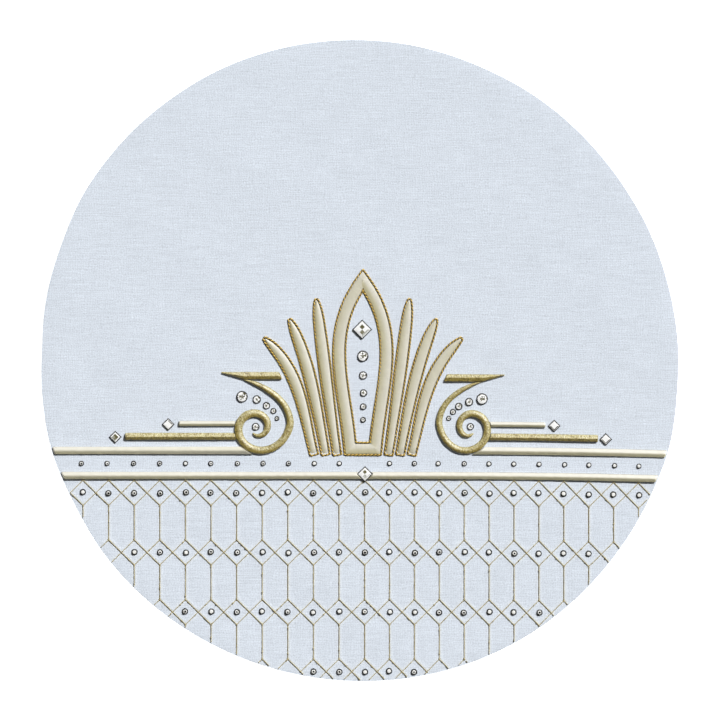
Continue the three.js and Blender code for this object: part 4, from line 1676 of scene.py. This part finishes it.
def stonePiece(kind, name, x, y, size, lift, tableTones, crownTones, seed):
    # a faceted crown in a thin dark cup; each facet is painted the tone that light inside the stone gives
    # it, a painted reflection
    cut = cuts[kind]
    dips = cut["dips"]
    chance = np.random.default_rng(seed)
    turn = chance.uniform(0, math.pi / 4) if kind == "round" else 0.0
    points, faces, tones, slots = [], [], [], []

    def add(face, tone, slot=0):
        faces.append(face)
        tones.append(tone)
        slots.append(slot)

    def addWall(lower, upper, tone, slot=0):
        for k in range(len(lower)):
            after = (k + 1) % len(lower)
            add((lower[k], lower[after], upper[after], upper[k]), tone, slot)

    cup = stone["cupBase"] + size * cut["cup"]
    top = cup + size * stone["crownRise"]
    bezel = stone["bezelWidth"] * cut["bezel"]
    inner = size - bezel - stone["bezelGap"]
    section = ((size * 0.99, 0), (size, cup * 0.3), (size - bezel, cup), (inner, cup - 0.05))
    rings = [addLoop(points, reach, height, cut["cupSides"], 0.0, dips) for reach, height in section]
    for lower, upper in zip(rings, rings[1:]):
        addWall(lower, upper, 0, 1)
    add(tuple(rings[0][::-1]), 0, 1)
    add(tuple(rings[-1]), 0, 1)

    girdleReach = inner - 0.02
    heights = (cup - 0.15, cup + 0.02)
    foot, girdle = (addLoop(points, girdleReach, height, cut["girdle"], turn, dips) for height in heights)
    addWall(foot, girdle, stone["girdleTone"])
    add(tuple(foot[::-1]), stone["girdleTone"])
    tableReach = size * cut["table"]
    table = addLoop(points, tableReach, top, tableCorners, turn, dips)
    middle = len(points)
    points.append((0, 0, top))

    def paintedFacetTone(face):
        # painted reflection: the far side of the stone, to the right, is painted with more dark facets
        centre = np.mean([points[v][:2] for v in face], 0)
        side = float(centre @ stone["farSide"]) / size
        low, growth = stone["darkChance"]
        dark = chance.random() < low + growth * max(0.0, side)
        return float(chance.uniform(*stone["darkTones" if dark else "paleTones"]))

    if kind == "square":
        reach, height = lerp(girdleReach, tableReach, 0.3), lerp(cup, top, 0.5)
        border = addLoop(points, reach, height, cut["girdle"], turn, dips)
        for k in range(4):
            before, corner, edge, after = ((2 * k + way) % 8 for way in (-1, 0, 1, 2))
            tiers = ((girdle, border, stone["borderTone"]), (border, table, crownTones[k]))
            for outerRing, innerRing, tone in tiers:
                add((outerRing[corner], outerRing[edge], innerRing[edge], innerRing[corner]), tone)
                add((outerRing[edge], outerRing[after], innerRing[after], innerRing[edge]), tone)
            add((table[corner], table[edge], middle, table[before]), tableTones[(k - 1) % 4])
    else:
        count = tableCorners
        starReach = lerp(tableReach, girdleReach, 0.45) * 0.97
        star = [
            addLoop(points, starReach, lerp(top, cup, 0.4), 1, turn + (2 * k + 1) * math.pi / count)[0]
            for k in range(count)
        ]
        heart = addLoop(points, tableReach * 0.5, top, count, turn + math.pi / count)
        for k in range(count):
            after, before = (k + 1) % count, (k - 1) % count
            for face in (
                (table[k], star[k], table[after]),
                (table[k], star[before], girdle[2 * k], star[k]),
                (star[k], girdle[2 * k], girdle[2 * k + 1]),
                (star[k], girdle[2 * k + 1], girdle[(2 * k + 2) % (2 * count)]),
                (table[k], table[after], heart[k]),
            ):
                add(face, paintedFacetTone(face))
            add((table[k], heart[k], heart[before]), stone["heartTones"][chance.random() >= 0.5])
            add((heart[before], heart[k], middle), stone["tableTones"][k % 2])
        points[middle] = (size * 0.06, 0, top)
    moved = [(px + x, py + y, pz + stone["seat"] + lift) for px, py, pz in points]
    looks = {"fields": {"paintedFacetTone": tones}, "domain": "FACE", "smooth": False, "slots": slots}
    piece = linkMesh(f"{kind}_cut_{name}", moved, faces, [cutStone, darkBezel], **looks)
    sew(piece, "stone", f"{kind}_stone_{name}")


for seed, (name, values) in enumerate(squareStones.items()):
    stonePiece("square", name, *values, seed)
for seed, (name, values) in enumerate(roundStones.items()):
    stonePiece("round", name, *values, 0, None, None, 200 + seed)
print("stones set")


# The cloth carries everything that is sewn to it

sew(linenCover, "linen", "cover_cloth")


# Floor, light and camera

studio = {
    "floorReach": 4.0,
    "floorDepth": 0.4,  # millimetres below the cover
    "fill": 0.09,
    "fillFrom": (0.45, 0.45, 0.77),
    "keyStrength": 4.42,
    "keyAzimuth": 52,  # degrees from +X towards +Y
    "keyElevation": 40,
    "keySoftness": 6,
    "photoMillimetres": 504.28,  # what the photograph's width shows at the face of the cloth
    "sensor": 36,
    "cameraHeight": 5.0,
    "centreY": 0.28,
}


def studioFloor():
    mesh = bpy.data.meshes.new("floor")
    reach, level = studio["floorReach"], -studio["floorDepth"] * mm
    corners = [(x * reach, y * reach, level) for x, y in ((-1, -1), (1, -1), (1, 1), (-1, 1))]
    mesh.from_pydata(corners, [], [(0, 1, 2, 3)])
    material, tree, shader = startMaterial(
        "paleFloor", Roughness=0.9, Emission_Color=(1, 1, 1, 1), Emission_Strength=0.95
    )
    tree.links.new(tinted(tree, (0.9, 0.9, 0.9, 1), blotchTone(tree, 60, 0.02)), shader["Base Color"])
    mesh.materials.append(material)
    floor = addObject("floor", mesh)


def studioLight():
    world = bpy.data.worlds.new("studio")
    scene.world = world
    world.use_nodes = True
    tree = world.node_tree
    background = tree.nodes["Background"]
    direction = tree.nodes.new("ShaderNodeTexCoord").outputs["Generated"]
    inputs = {0: direction, 1: studio["fillFrom"]}
    towards = addNode(tree, "ShaderNodeVectorMath", inputs, operation="DOT_PRODUCT").outputs["Value"]
    inputs = {0: (1.0, 1.0, 1.0), 3: mapped(tree, towards, -0.4, 1.0, 0.62, 1.22)}
    shade = firstOut(tree, "ShaderNodeVectorMath", inputs, operation="SCALE")
    tree.links.new(shade, background.inputs["Color"])
    background.inputs["Strength"].default_value = studio["fill"]
    lamp = bpy.data.lights.new("key", "SUN")
    lamp.energy = studio["keyStrength"]
    lamp.angle = math.radians(studio["keySoftness"])
    key = addObject("key", lamp)
    azimuth, elevation = math.radians(studio["keyAzimuth"]), math.radians(studio["keyElevation"])
    level = math.cos(elevation)
    towardsKey = Vector((level * math.cos(azimuth), level * math.sin(azimuth), math.sin(elevation)))
    key.rotation_mode = "QUATERNION"
    key.rotation_quaternion = towardsKey.to_track_quat("Z", "Y")


def studioCamera():
    camera = bpy.data.cameras.new("camera")
    camera.sensor_width = studio["sensor"]
    camera.lens = studio["sensor"] * studio["cameraHeight"] / (studio["photoMillimetres"] * mm)
    camera.clip_end = 50
    holder = addObject("camera", camera)
    holder.location = (0, studio["centreY"] * mm, studio["cameraHeight"] + cloth["thickness"] * mm)
    scene.camera = holder


studioFloor()
studioLight()
studioCamera()
scene.view_settings.view_transform = "Standard"
scene.view_settings.look = "None"
